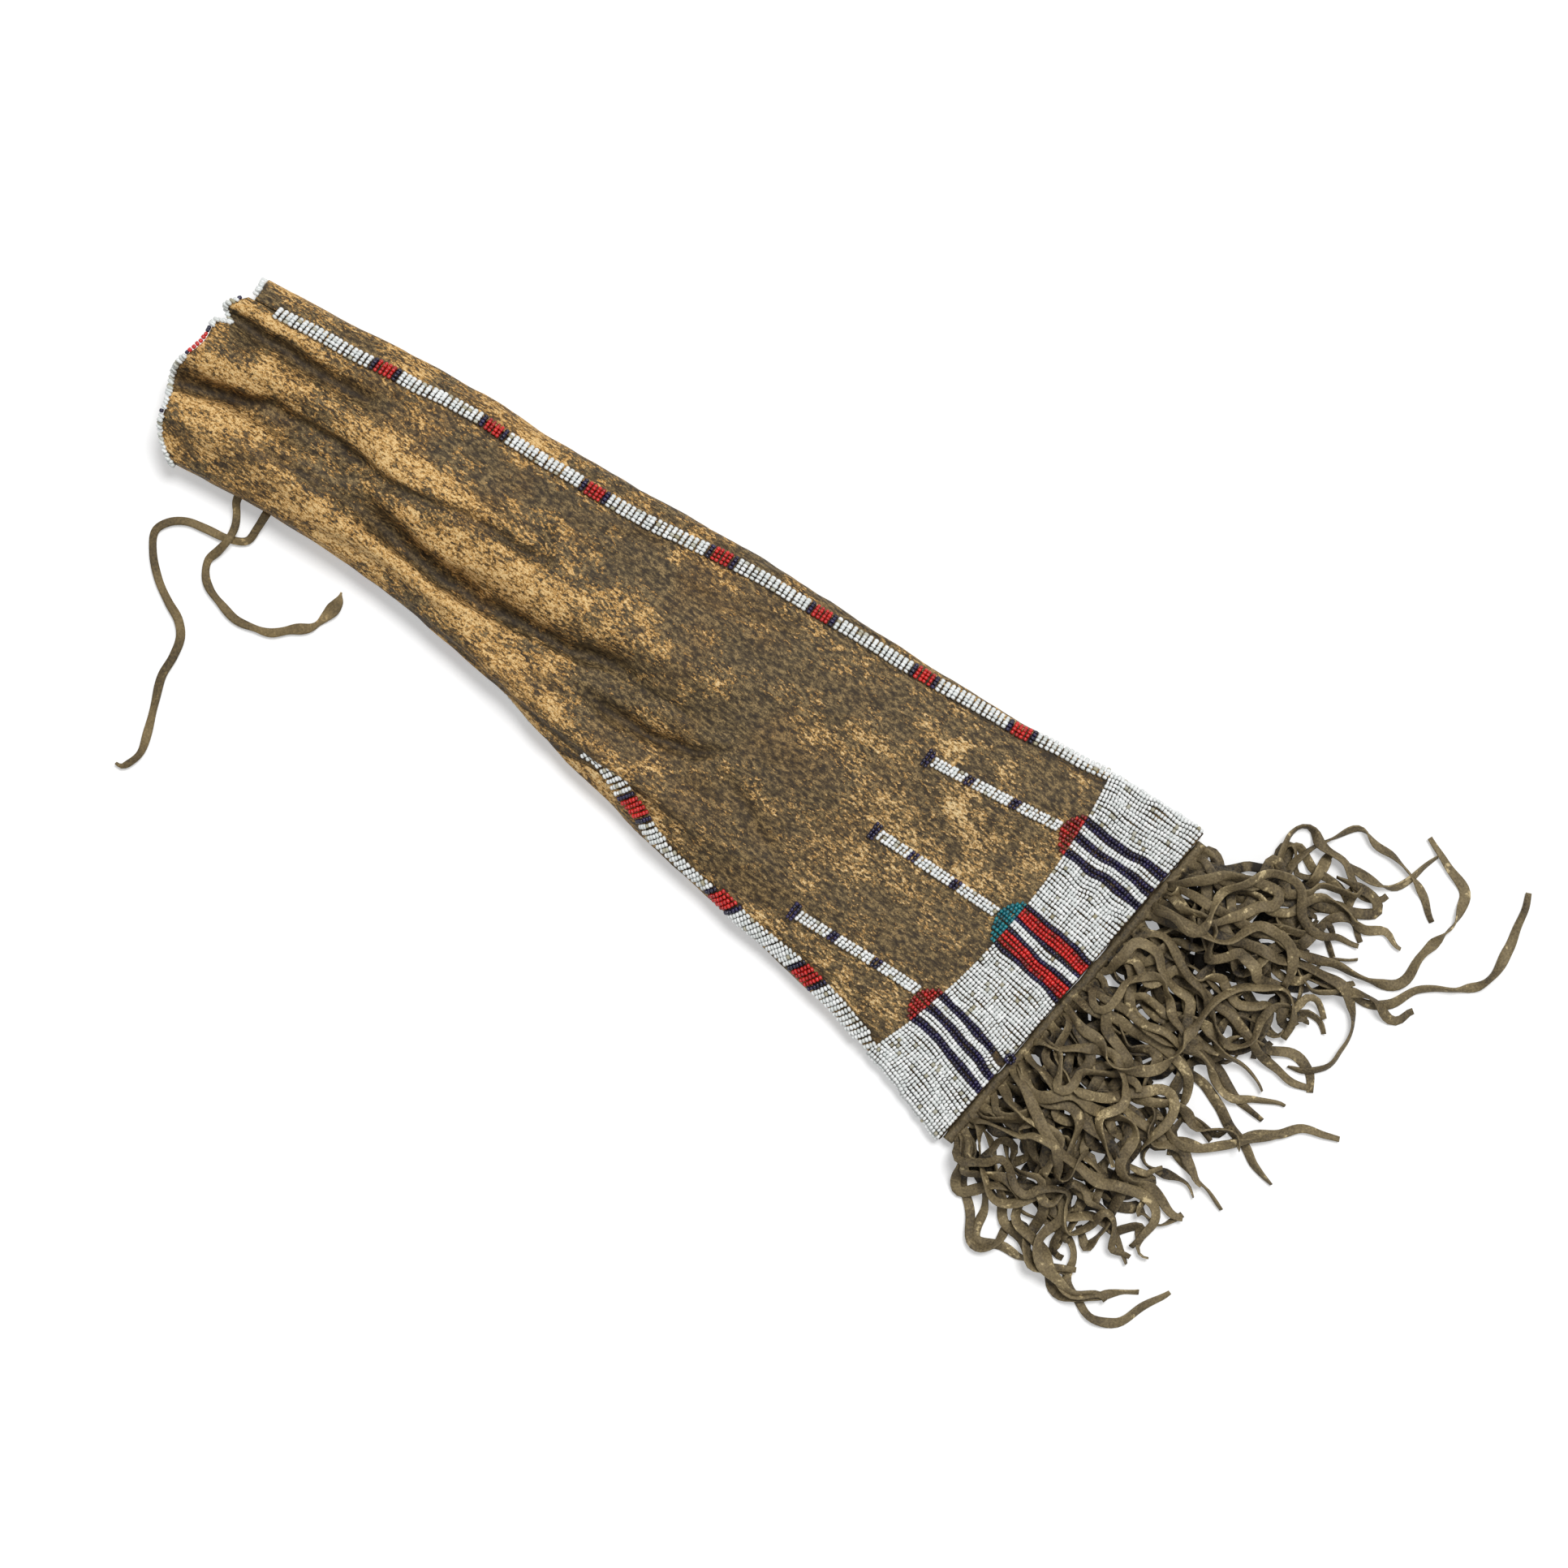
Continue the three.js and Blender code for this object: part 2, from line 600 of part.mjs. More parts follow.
// Bead strips over the side seams, with a row of vertices at each station of the panels, more rows where
// the seam turns round the edge, and a last row where the bead band begins
function addSeamStrip(name, seamAngle, firstStation) {
  const stripEnd = (angle) => bandTop(Math.cos(angle)) - CLEARANCE;
  const seamX = (along) => {
    let x = (along - 0.5) * BODY_LENGTH;
    for (let pass = 0; pass < SOLVER_PASSES; pass += 1) {
      x = stationX(along, seamAngle(x), "front");
    }
    return x;
  };
  const lastRowX = stripEnd(seamAngle(bandTopX)) - STRIP_WIDTH / 2;
  const rowX = [];
  for (let i = firstStation; seamX(i / STATIONS) < lastRowX; i += 1) {
    const from = seamX(i / STATIONS);
    const to = seamX((i + 1) / STATIONS);
    const parts = Math.ceil(Math.abs(seamAngle(to) - seamAngle(from)) / STRIP_TURN);
    for (let part = 0; part < parts; part += 1) {
      rowX.push(lerp(from, to, part / parts));
    }
  }
  const place = (u, w) => {
    const row = Math.round(u * rowX.length);
    const sideways = (w - 0.5) * STRIP_WIDTH;
    const x = row < rowX.length ? rowX[row] : stripEnd(walk(bandTopX, seamAngle(bandTopX), sideways));
    return onHide(x, walk(x, seamAngle(x), sideways));
  };
  addBeads(name, "white", place, rowX.length, 2, fullHeight, STRIP_CLEARANCE);
}

addSeamStrip("upper_seam_strip", upperSeamAngle, UPPER_STRIP_START);
addSeamStrip("lower_seam_strip", lowerSeamAngle, LOWER_STRIP_START);

// Bead edging along the two mouth rims, just beyond the cut edge of each panel
function addMouthEdging(name, grid) {
  const top = [];
  const bottom = [];
  const [rim, next] = grid.rows;
  for (let j = 0; j <= grid.columns; j += 1) {
    const at = clamp(j, EDGING_INSET, grid.columns - EDGING_INSET);
    const j0 = Math.min(Math.floor(at), grid.columns - 1);
    const point = rim[j0].point.clone().lerp(rim[j0 + 1].point, at - j0);
    const normal = rim[j0].normal.clone().lerp(rim[j0 + 1].normal, at - j0).normalize();
    const out = point.clone().sub(next[j0].point.clone().lerp(next[j0 + 1].point, at - j0)).normalize();
    const low = point.clone().addScaledVector(normal, -EDGING_SIZE / 2);
    const inner = low.addScaledVector(out, EDGING_CLEARANCE);
    const outer = inner.clone().addScaledVector(out, EDGING_SIZE);
    const raised = (p, side) => p.clone().addScaledVector(normal, (side * EDGING_SIZE) / 2);
    top.push([raised(inner, 1), raised(outer, 1)]);
    bottom.push([raised(inner, -1), raised(outer, -1)]);
  }
  addPiece(name, "white", slabGeometry(top, bottom));
}

addMouthEdging("front_mouth_edging", frontGrid);
addMouthEdging("back_mouth_edging", backGrid);

// Repeatable random numbers from 0 to 1
function seededRandom(seed) {
  let state = seed;
  return () => {
    state = (state + 0x6d2b79f5) | 0;
    let mixed = Math.imul(state ^ (state >>> 15), 1 | state);
    mixed = (mixed + Math.imul(mixed ^ (mixed >>> 7), 61 | mixed)) ^ mixed;
    return ((mixed ^ (mixed >>> 14)) >>> 0) / 4294967296;
  };
}

// Thongs that can be followed from root to tip: their rank in the pile, from 0 on the floor to 1 on top,
// and points as [share of the thong length past the bottom edge, share of half the bottom width]
const ROUTES = [
  {
    rank: 0.4,
    points: [
      [0, 0.86], [0.28, 0.99], [0.34, 1.26], [0.42, 1.49], [0.53, 1.49], [0.7, 1.45], [0.85, 1.35],
    ],
  },
  { rank: 0.55, points: [[0, 0.8], [0.42, 1.06], [0.4, 1.31], [0.51, 1.31], [0.66, 1.36], [0.7, 1.62]] },
  {
    rank: 0.7,
    points: [
      [0, 0.69], [0.55, 0.84], [0.89, 0.99], [0.9, 1.22], [0.91, 1.44], [0.88, 1.55], [0.76, 1.61],
      [0.64, 1.67],
    ],
  },
  {
    rank: 0.15,
    points: [
      [0, 0.61], [0.55, 0.74], [0.92, 0.87], [0.98, 1.03], [1.09, 1.16], [1.13, 1.26], [1.12, 1.47],
      [1.05, 1.75],
    ],
  },
  {
    rank: 0.8,
    points: [
      [0, 0.51], [0.47, 0.74], [0.75, 0.82], [0.88, 0.71], [0.91, 0.53], [0.85, 0.39], [0.79, 0.35],
    ],
  },
  { rank: 0.3, points: [[0, 0.42], [0.47, 0.55], [0.84, 0.87], [0.98, 0.86], [1.02, 0.93]] },
  { rank: 0.62, points: [[0, 0.23], [0.39, 0.38], [0.67, 0.31], [0.82, 0.29], [0.91, 0.32]] },
  {
    rank: 0.48,
    points: [
      [0, -0.19], [0.47, -0.32], [0.75, -0.22], [0.88, -0.01], [0.98, 0.13], [1.11, 0.22],
    ],
  },
  {
    rank: 0.92,
    points: [
      [0, -0.48], [0.13, -0.55], [0.32, -0.66], [0.51, -0.65], [0.75, -0.59], [0.8, -0.66],
      [0.79, -0.83],
    ],
  },
  { rank: 0.5, points: [[0, -0.78], [0.15, -0.83], [0.34, -1.07], [0.59, -1.17], [0.67, -1.12]] },
  {
    rank: 0.3,
    points: [
      [0, -0.91], [0.2, -1], [0.29, -1.12], [0.34, -1.27], [0.48, -1.2], [0.62, -1.18], [0.72, -1.23],
      [0.92, -0.98],
    ],
  },
  {
    rank: 0.1,
    points: [
      [0, -0.67], [0.39, -0.93], [0.64, -1.02], [0.7, -1.15], [0.83, -1.22], [0.92, -1.17],
      [0.97, -1], [1.01, -0.89],
    ],
  },
  { rank: 0.75, points: [[0, -0.38], [0.58, -0.57], [0.66, -0.79], [0.67, -0.97], [0.59, -0.91]] },
  {
    rank: 1,
    points: [
      [0, -0.08], [0.31, -0.15], [0.41, -0.06], [0.45, 0.11], [0.41, 0.32], [0.45, 0.48],
      [0.59, 0.63], [0.69, 0.55], [0.71, 0.44],
    ],
  },
  {
    rank: 0.97,
    points: [
      [0, -0.32], [0.09, -0.26], [0.29, -0.12], [0.41, -0.25], [0.38, -0.42], [0.53, -0.58],
    ],
  },
  { rank: 0.85, points: [[0, 0.04], [0.52, 0.13], [0.7, 0.07], [0.88, 0.18]] },
  {
    rank: 0.78,
    points: [
      [0, -0.02], [0.47, 0.04], [0.58, -0.08], [0.59, -0.24], [0.71, -0.27], [0.81, -0.15],
      [0.94, 0.04],
    ],
  },
  { rank: 0.25, points: [[0, -0.25], [0.47, -0.23], [0.79, -0.36], [0.95, -0.42]] },
  { rank: 0.2, points: [[0, -0.13], [0.55, 0.02], [0.87, -0.11], [0.98, -0.15], [1.03, -0.16]] },
  {
    rank: 0.95,
    points: [
      [0, 0.69], [0.09, 0.78], [0.17, 0.92], [0.34, 0.99], [0.36, 0.93], [0.32, 0.86], [0.2, 0.66],
    ],
  },
  { rank: 0.9, points: [[0, 0.57], [0.32, 0.65], [0.36, 0.8], [0.47, 0.84], [0.57, 0.73], [0.59, 0.65]] },
  { rank: 0.65, points: [[0, 0.84], [0.48, 1.08], [0.66, 1.17], [0.67, 1.22], [0.6, 1.26], [0.47, 1.24]] },
];

const bottomEdgeX = (y) => BODY_LENGTH / 2 + BOTTOM_SKEW * y;
const ROOT_DEPTH = 0.55 * WELT_LENGTH;
const UPPER_ROW = 1;
const LOWER_ROW = -1;

// Height of the heap of thongs over the floor, low at its outer rim
function pileHeight(past, y) {
  const outward = 1 - smoothstep(past, PILE_FALL_FROM * THONG_LENGTH, THONG_LENGTH);
  const aside = Math.abs(y) / (BOTTOM_WIDTH / 2);
  const sideways = 1 - PILE_SIDE_DROP * smoothstep(aside, PILE_SIDE_FROM, PILE_SIDE_TO);
  return PILE_RIM + (PILE_HEIGHT - PILE_RIM) * outward * sideways;
}

// Height of a thong of the given rank: out of the seam, then in its own layer of the pile
function thongHeight(x, y, share, rank, row) {
  const root = THONG_ROOT_HEIGHT + row * (WELT_HEIGHT / 2 - THONG_THICKNESS);
  const layer = THONG_THICKNESS + rank * pileHeight(x - bottomEdgeX(y), y);
  return lerp(root, layer, smoothstep(share, 0, ROOT_RISE_SHARE));
}

// A flat thong along plan points, turned about its own length as it goes
function thongSolid(plan, rank, row, twistStart, twistTurn) {
  const last = plan.length - 1;
  const top = [];
  const bottom = [];
  plan.forEach(([x, y], i) => {
    const share = i / last;
    const [xBefore, yBefore] = plan[Math.max(i - 1, 0)];
    const [xAfter, yAfter] = plan[Math.min(i + 1, last)];
    const heading = Math.atan2(yAfter - yBefore, xAfter - xBefore);
    const turned = smoothstep(share, TWIST_FROM, TWIST_TO);
    const twist = twistTurn * Math.sin(Math.PI * share + twistStart) * turned;
    const width = THONG_WIDTH * lerp(1, THONG_TIP_SHARE, smoothstep(share, TWIST_TO, 1));
    const floor = (width * Math.abs(Math.sin(twist)) + THONG_THICKNESS) / 2 + CLEARANCE;
    const centre = new THREE.Vector3(x, y, Math.max(thongHeight(x, y, share, rank, row), floor));
    const left = new THREE.Vector3(-Math.sin(heading), Math.cos(heading), 0);
    const side = left.clone().multiplyScalar(Math.cos(twist)).setZ(Math.sin(twist));
    const up = left.clone().multiplyScalar(-Math.sin(twist)).setZ(Math.cos(twist));
    const corner = (a, b) => centre.clone()
      .addScaledVector(side, (a * width) / 2)
      .addScaledVector(up, (b * THONG_THICKNESS) / 2);
    top.push([corner(1, 1), corner(-1, 1)]);
    bottom.push([corner(1, -1), corner(-1, -1)]);
  });
  return solidOf(slabGeometry(top, bottom));
}

function solidOf(geometry) {
  return new wasm.Manifold(new wasm.Mesh({
    numProp: 3,
    vertProperties: new Float32Array(geometry.attributes.position.array),
    triVerts: new Uint32Array(geometry.index.array),
  }));
}

// Plan points of a thong that was followed by hand
function routePlan(points) {
  const curve = new THREE.CatmullRomCurve3(points.map(([past, across]) => {
    const y = (across * BOTTOM_WIDTH) / 2;
    const reach = past === 0 ? ROOT_DEPTH : past * THONG_LENGTH;
    return new THREE.Vector3(bottomEdgeX(y) + reach, y, 0);
  }));
  return curve.getSpacedPoints(ROUTE_STEPS).map((p) => [p.x, p.y]);
}

// How loose thongs lie: angles in radians, and shares of the lengths of their waves
const LOOSE = {
  spread: 0.42,
  lean: [-0.3, 0.3],
  swing: [0.6, 1.3],
  swingShare: [0.75, 1.25],
  curl: [0.3, 0.8],
  curlShare: [0.8, 1.25],
  lengthShare: [0.8, 1.2],
};

// Plan points of a loose thong that swings and curls away from its root
function loosePlan(rootY, length, random) {
  const between = ([low, high]) => lerp(low, high, random());
  const spread = LOOSE.spread * (rootY / (BOTTOM_WIDTH / 2));
  const lean = between(LOOSE.lean);
  const swing = between(LOOSE.swing);
  const swingLength = SWING_LENGTH * between(LOOSE.swingShare);
  const swingStart = 2 * Math.PI * random();
  const curl = between(LOOSE.curl);
  const curlLength = CURL_LENGTH * between(LOOSE.curlShare);
  const curlStart = 2 * Math.PI * random();
  const step = length / (THONG_STEPS * PLAN_SUBSTEPS);
  let x = bottomEdgeX(rootY) + ROOT_DEPTH;
  let y = rootY;
  const plan = [[x, y]];
  for (let i = 1; i <= THONG_STEPS * PLAN_SUBSTEPS; i += 1) {
    const reach = i * step;
    const freed = smoothstep(reach, 0, FREE_LENGTH);
    const swingAngle = swing * Math.sin((2 * Math.PI * reach) / swingLength + swingStart);
    const curlAngle = curl * Math.sin((2 * Math.PI * reach) / curlLength + curlStart);
    const heading = spread + freed * (lean + swingAngle + curlAngle);
    x += step * Math.cos(heading);
    y += step * Math.sin(heading);
    if (i % PLAN_SUBSTEPS === 0) {
      plan.push([x, y]);
    }
  }
  return plan;
}

// Uncut strip of the fringe: a tab sewn between the panels and a welt that shows below the beads
function fringeStrip() {
  const strip = (halfWidth, from, to, low, high) => {
    const corners = (z) => [-halfWidth, halfWidth].map((y) =>
      [from, to].map((past) => new THREE.Vector3(bottomEdgeX(y) + past, y, z)));
    return solidOf(slabGeometry(corners(high), corners(low)));
  };
  const middle = THONG_ROOT_HEIGHT;
  const tab = strip(TAB_SHARE * (BOTTOM_WIDTH / 2), -FRINGE_BAND_DEPTH, WELT_LENGTH,
    middle - FRINGE_BAND_THICKNESS / 2, middle + FRINGE_BAND_THICKNESS / 2);
  const welt = strip(WELT_SHARE * (BOTTOM_WIDTH / 2), CLEARANCE, WELT_LENGTH,
    middle - WELT_HEIGHT / 2, middle + WELT_HEIGHT / 2);
  return tab.add(welt);
}

// Fringe: one strip of hide, cut into thongs below the welt
function fringeGeometry() {
  const random = seededRandom(FRINGE_SEED);
  let fringe = fringeStrip();
  for (let k = 0; k < THONG_COUNT; k += 1) {
    const rootY = (1 - (2 * (k + 0.5)) / THONG_COUNT) * ROOT_SHARE * (BOTTOM_WIDTH / 2);
    const length = THONG_LENGTH * lerp(...LOOSE.lengthShare, random());
    const rank = (((k * RANK_STRIDE) % THONG_COUNT) + 0.5) / THONG_COUNT;
    const twistStart = 2 * Math.PI * random();
    const twistTurn = TWIST * (2 * random() - 1);
    const plan = loosePlan(rootY, length, random);
    fringe = fringe.add(thongSolid(plan, rank, LOWER_ROW, twistStart, twistTurn));
  }
  for (const { rank, points } of ROUTES) {
    const twistStart = 2 * Math.PI * random();
    const twistTurn = TWIST * (2 * random() - 1);
    fringe = fringe.add(thongSolid(routePlan(points), rank, UPPER_ROW, twistStart, twistTurn));
  }
  const mesh = fringe.getMesh();
  const positions = [];
  for (let i = 0; i < mesh.numVert; i += 1) {
    positions.push(...mesh.vertProperties.slice(i * mesh.numProp, i * mesh.numProp + 3));
  }
  return facingOut(positions, Array.from(mesh.triVerts));
}

addPiece("fringe", "thong", fringeGeometry());

// Tie thongs, from the lower seam near the mouth out over the floor
const TIE_LONG = [
  [-182.5, -52, 8.4], [-182.4, -55.5, 6.4], [-182.3, -60.5, 3.4], [-182.6, -68.3, 1.9],
  [-190.5, -73, 1.9], [-201.4, -75.6, 1.9], [-210.7, -78.4, 1.9], [-217.1, -83.8, 1.9],
  [-219.6, -90.6, 1.9], [-214.5, -99.1, 1.9], [-204.3, -108, 1.9], [-194.4, -113.4, 1.9],
  [-185.7, -117.2, 1.9], [-180, -122.9, 1.9], [-177.1, -132.2, 1.9], [-175.8, -142.7, 1.9],
  [-170.4, -155.3, 1.9], [-165.4, -166.8, 1.9], [-161.9, -177, 1.9], [-162.7, -182.9, 1.9],
  [-165.2, -187.7, 1.9], [-168.2, -188.1, 1.9],
];
const TIE_SHORT = [
  [-198, -53.6, 8.4], [-197, -57, 6.6], [-194, -61, 4.6], [-191, -66, 4.8],
  [-189.5, -72.3, 6.4], [-190.3, -80, 3.4], [-191.5, -86.7, 1.9], [-188, -93.1, 1.9],
  [-182.8, -96.8, 1.9], [-174.2, -99.2, 1.9], [-164.3, -100.8, 1.9], [-155.4, -98.7, 1.9],
  [-147.7, -95.7, 1.9], [-140.5, -88.2, 1.9], [-133.9, -81.8, 1.9], [-131.7, -72.9, 1.9],
  [-131.4, -65, 1.9], [-133, -60.5, 1.9],
];

function addTie(name, route) {
  const path = new THREE.CatmullRomCurve3(route.map(([x, y, z]) => new THREE.Vector3(x, y, z)));
  const corners = [];
  for (let k = 0; k < TIE_SIDES; k += 1) {
    const angle = (2 * Math.PI * (k + 0.5)) / TIE_SIDES;
    corners.push(new THREE.Vector2(Math.cos(angle), Math.sin(angle)).multiplyScalar(TIE_DIAMETER / 2));
  }
  const section = new THREE.Shape(corners);
  const steps = Math.round(path.getLength() / (TIE_STEP_DIAMETERS * TIE_DIAMETER));
  const settings = { steps, extrudePath: path, bevelEnabled: false };
  addPiece(name, "thong", new THREE.ExtrudeGeometry(section, settings));
}

addTie("tie_thong_long", TIE_LONG);
addTie("tie_thong_short", TIE_SHORT);

export default bag;
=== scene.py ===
# Beaded tobacco bag: hide, beadwork, fringe and ties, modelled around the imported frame.
# Shapes are worked out in millimetres in the frame's own axes and turned to metres when a mesh is made.
import math
from operator import itemgetter

import bpy
import numpy as np
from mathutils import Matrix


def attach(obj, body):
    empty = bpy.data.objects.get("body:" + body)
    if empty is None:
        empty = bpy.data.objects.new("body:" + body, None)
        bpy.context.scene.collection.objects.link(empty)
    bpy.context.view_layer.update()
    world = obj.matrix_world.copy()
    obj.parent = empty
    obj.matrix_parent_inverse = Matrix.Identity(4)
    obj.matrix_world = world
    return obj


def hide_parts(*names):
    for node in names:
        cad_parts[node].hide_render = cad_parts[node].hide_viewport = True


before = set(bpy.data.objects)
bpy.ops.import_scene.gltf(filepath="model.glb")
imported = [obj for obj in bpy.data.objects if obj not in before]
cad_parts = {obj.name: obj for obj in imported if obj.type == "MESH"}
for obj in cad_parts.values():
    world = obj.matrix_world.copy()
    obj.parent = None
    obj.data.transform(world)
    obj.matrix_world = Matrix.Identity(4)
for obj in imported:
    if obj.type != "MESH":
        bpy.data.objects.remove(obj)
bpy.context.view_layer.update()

MM = 0.001
TURN = 2 * math.pi

# Hide body, as in the frame
BODY_LENGTH = 500.0
MOUTH_WIDTH = 96.0
NECK_WIDTH = 102.0
WAIST_WIDTH = 114.0
SHOULDER_WIDTH = 135.0
BAND_TOP_WIDTH = 164.0
BOTTOM_WIDTH = 190.0
MOUTH_HEIGHT = 29.0
NECK_HEIGHT = 33.0
SHOULDER_HEIGHT = 30.0
BAND_TOP_HEIGHT = 15.0
UPPER_EDGE_HEIGHT = 11.0
LOWER_EDGE_HEIGHT = 16.0
LOWER_MOUTH_HEIGHT = 14.0
LOWER_EDGE_TUCK = 1.0
MOUTH_MIDDLE = -14.5
NECK_MIDDLE = 1.25
WAIST_MIDDLE = 5.5
SHOULDER_MIDDLE = 4.2
BOTTOM_MIDDLE = 0.3
SEAM_SLACK = 1.5
SEAM_GAP = 0.7
UPPER_SEAM_INSET = 12.0
LOWER_SEAM_ROLL = 13.0
HIDE_THICKNESS = 1.8
BOTTOM_SKEW = 0.058
SKEW_FROM = 0.6
SKEW_TO = 0.9
CLEARANCE = 0.35

# Rims of the mouth
FRONT_LIP = 3.5
UPPER_LIP_FALL = 15.0
LOWER_LIP_FALL = 24.0
BACK_SETBACK = 10.0
BACK_LEAN = 9.0
RIM_WAVE = 2.0
FRONT_WAVES = 9
BACK_WAVES = 7
MOUTH_ZONE = 0.1
NOTCH_DEPTH = 7.0
NOTCH_ACROSS = 0.477
NOTCH_REACH = 0.055

# Beadwork
BEAD_RADIUS = 1.06
BEAD_LENGTH = 1.72
BEAD_FILL = 0.92
STRING_FILL = 0.88
LANE_FILL = 0.98
BEAD_SEAT = 1.12
LANE_COUNT = 5
LANE_DIP = 0.55
LANE_SHIFT = 1.0
STRING_SHIFT = 0.35
BAND_LENGTH = 41.0
BAND_EDGE_SWEEP = 11.0
BAND_END_SKEW = 0.07
BAND_HALF_SHARE = 0.985
BAND_MARGIN = 0.6
EDGE_STRINGS = 3
EDGE_PITCH = 2.15
CAP_HEIGHT = 8.0
CAP_END_HEIGHT = 1.8
LINE_WIDTH = 5.4
LINE_LENGTH = 66.0
LINE_BEADS = 3
HEAD_ROWS = 2
HEAD_PITCH = 2.0
HEAD_BEADS = 5
HEAD_BEAD_LENGTH = 1.8
STITCH_ARCH = 0.8
STITCH_FILL = 0.88
STRIP_WANDER = (0.7, 16, 1, 71)
EDGING_SIZE = 3.0
EDGING_PITCH = 2.0
BACK_STRINGS = 72
BACK_MARGIN = 1 / 9
BACK_BEAD_WIDTH = 2.0
BACK_BEAD_HEIGHT = 2.1

# Fringe and ties
FRINGE_BAND_THICKNESS = 2.2
WELT_LENGTH = 5.0
WELT_HEIGHT = 6.0
WELT_SHARE = 0.96
ROOT_SHARE = 0.93
ROOT_DEPTH = 0.55 * WELT_LENGTH
THONG_WIDTH = 5.2
THONG_THICKNESS = 1.0
THONG_LENGTH = 128.0
THONG_COUNT = 17
THONG_TIP_SHARE = 0.6
EXTRA_THONGS = 84
RANK_STRIDE = 11
SWING_LENGTH = 88.0
CURL_LENGTH = 44.0
FREE_LENGTH = 20.0
FRINGE_SEED = 7
EXTRA_SEED = 21
TIE_DIAMETER = 3.4

# Heights of the layers at the bottom edge
FLOOR_LIFT = BACK_BEAD_HEIGHT + CLEARANCE
LAYER_SLACK = 0.8
BOTTOM_HEIGHT = FLOOR_LIFT + 2 * HIDE_THICKNESS + FRINGE_BAND_THICKNESS + 2 * CLEARANCE + LAYER_SLACK
BOTTOM_EDGE_HEIGHT = (BOTTOM_HEIGHT + FLOOR_LIFT) / 2
THONG_ROOT_HEIGHT = FLOOR_LIFT + HIDE_THICKNESS + CLEARANCE + FRINGE_BAND_THICKNESS / 2
LIFT_LENGTH = 20.0
LIFT_MARGIN = 4.0
BAND_TOP_X = BODY_LENGTH / 2 - BAND_LENGTH

# Photograph's frame: its middle and width on the floor, and how far the bag is turned in it
VIEW_MIDDLE = (85.9, -5.6)
VIEW_WIDTH = 734.2
VIEW_TURN = math.radians(37.5)
VIEW_LENS = 120.0
VIEW_FAR = 20.0
SENSOR = 36.0

# Light
SUN_STRENGTH = 2.2
SUN_SPREAD = math.radians(21)
SUN_TILT = math.radians(23)
SUN_TURN = VIEW_TURN + math.radians(150)
SKY_LEVEL = 0.31
FLOOR_HALF = 6.0
FLOOR_GREY = 0.8
FLOOR_LIFT_TO_WHITE = 0.34


def clamp01(value):
    return np.clip(value, 0.0, 1.0)


def smoothstep(value, low, high):
    t = clamp01((value - low) / (high - low))
    return t * t * (3 - 2 * t)


def lerp(a, b, t):
    return a + (b - a) * t


def middles(count):
    """Middles of equal parts of the stretch from 0 to 1."""
    return (np.arange(count) + 0.5) / count


def unit(vectors):
    return vectors / np.maximum(np.linalg.norm(vectors, axis=-1, keepdims=True), 1e-9)


NOISE_CELLS = 128
noise_tables = {}


def noise(u, v, seed):
    """Smooth noise from -1 to 1 over a plane of unit cells."""
    if seed not in noise_tables:
        noise_tables[seed] = np.random.default_rng(seed).random((NOISE_CELLS, NOISE_CELLS)) * 2 - 1
    table = noise_tables[seed]
    s = smoothstep(u - np.floor(u), 0, 1)
    t = smoothstep(v - np.floor(v), 0, 1)
    i = np.floor(u).astype(int) % NOISE_CELLS
    j = np.floor(v).astype(int) % NOISE_CELLS
    next_i = (i + 1) % NOISE_CELLS
    next_j = (j + 1) % NOISE_CELLS
    low = lerp(table[i, j], table[next_i, j], s)
    high = lerp(table[i, next_j], table[next_i, next_j], s)
    return lerp(low, high, t)


def ripple(u, v, wave):
    """Noise with a wave's (most, length along u, length along v, seed)."""
    most, length_u, length_v, seed = wave
    return most * noise(u / length_u, v / length_v, seed)


def profile(rows):
    """A smooth curve through [share of the body length, value] rows."""
    shares = np.array([row[0] for row in rows], float)
    values = np.array([row[1] for row in rows], float)
    last = len(rows) - 1
    before = np.maximum(np.arange(last + 1) - 1, 0)
    after = np.minimum(np.arange(last + 1) + 1, last)
    slopes = (values[after] - values[before]) / (shares[after] - shares[before])

    def at(share):
        s = clamp01(share)
        i = np.clip(np.searchsorted(shares, s) - 1, 0, last - 1)
        span = shares[i + 1] - shares[i]
        t = (s - shares[i]) / span
        ends = values[i] * (2 * t**3 - 3 * t**2 + 1) + values[i + 1] * (3 * t**2 - 2 * t**3)
        return ends + span * (slopes[i] * (t**3 - 2 * t**2 + t) + slopes[i + 1] * (t**3 - t**2))

    return at


width_at = profile([
    [0, MOUTH_WIDTH], [0.25, NECK_WIDTH], [0.4, WAIST_WIDTH], [0.55, SHOULDER_WIDTH],
    [0.85, BAND_TOP_WIDTH], [1, BOTTOM_WIDTH],
])
middle_at = profile([
    [0, MOUTH_MIDDLE], [0.2, NECK_MIDDLE], [0.35, WAIST_MIDDLE], [0.47, WAIST_MIDDLE],
    [0.7, SHOULDER_MIDDLE], [0.9, SHOULDER_MIDDLE], [1, BOTTOM_MIDDLE],
])
crest_at = profile([
    [0, MOUTH_HEIGHT], [0.2, NECK_HEIGHT], [0.55, SHOULDER_HEIGHT],
    [0.88, BAND_TOP_HEIGHT], [1, BOTTOM_HEIGHT],
])
upper_edge_at = profile([
    [0, UPPER_EDGE_HEIGHT], [0.5, UPPER_EDGE_HEIGHT],
    [0.85, BOTTOM_EDGE_HEIGHT + SEAM_SLACK], [1, BOTTOM_EDGE_HEIGHT],
])
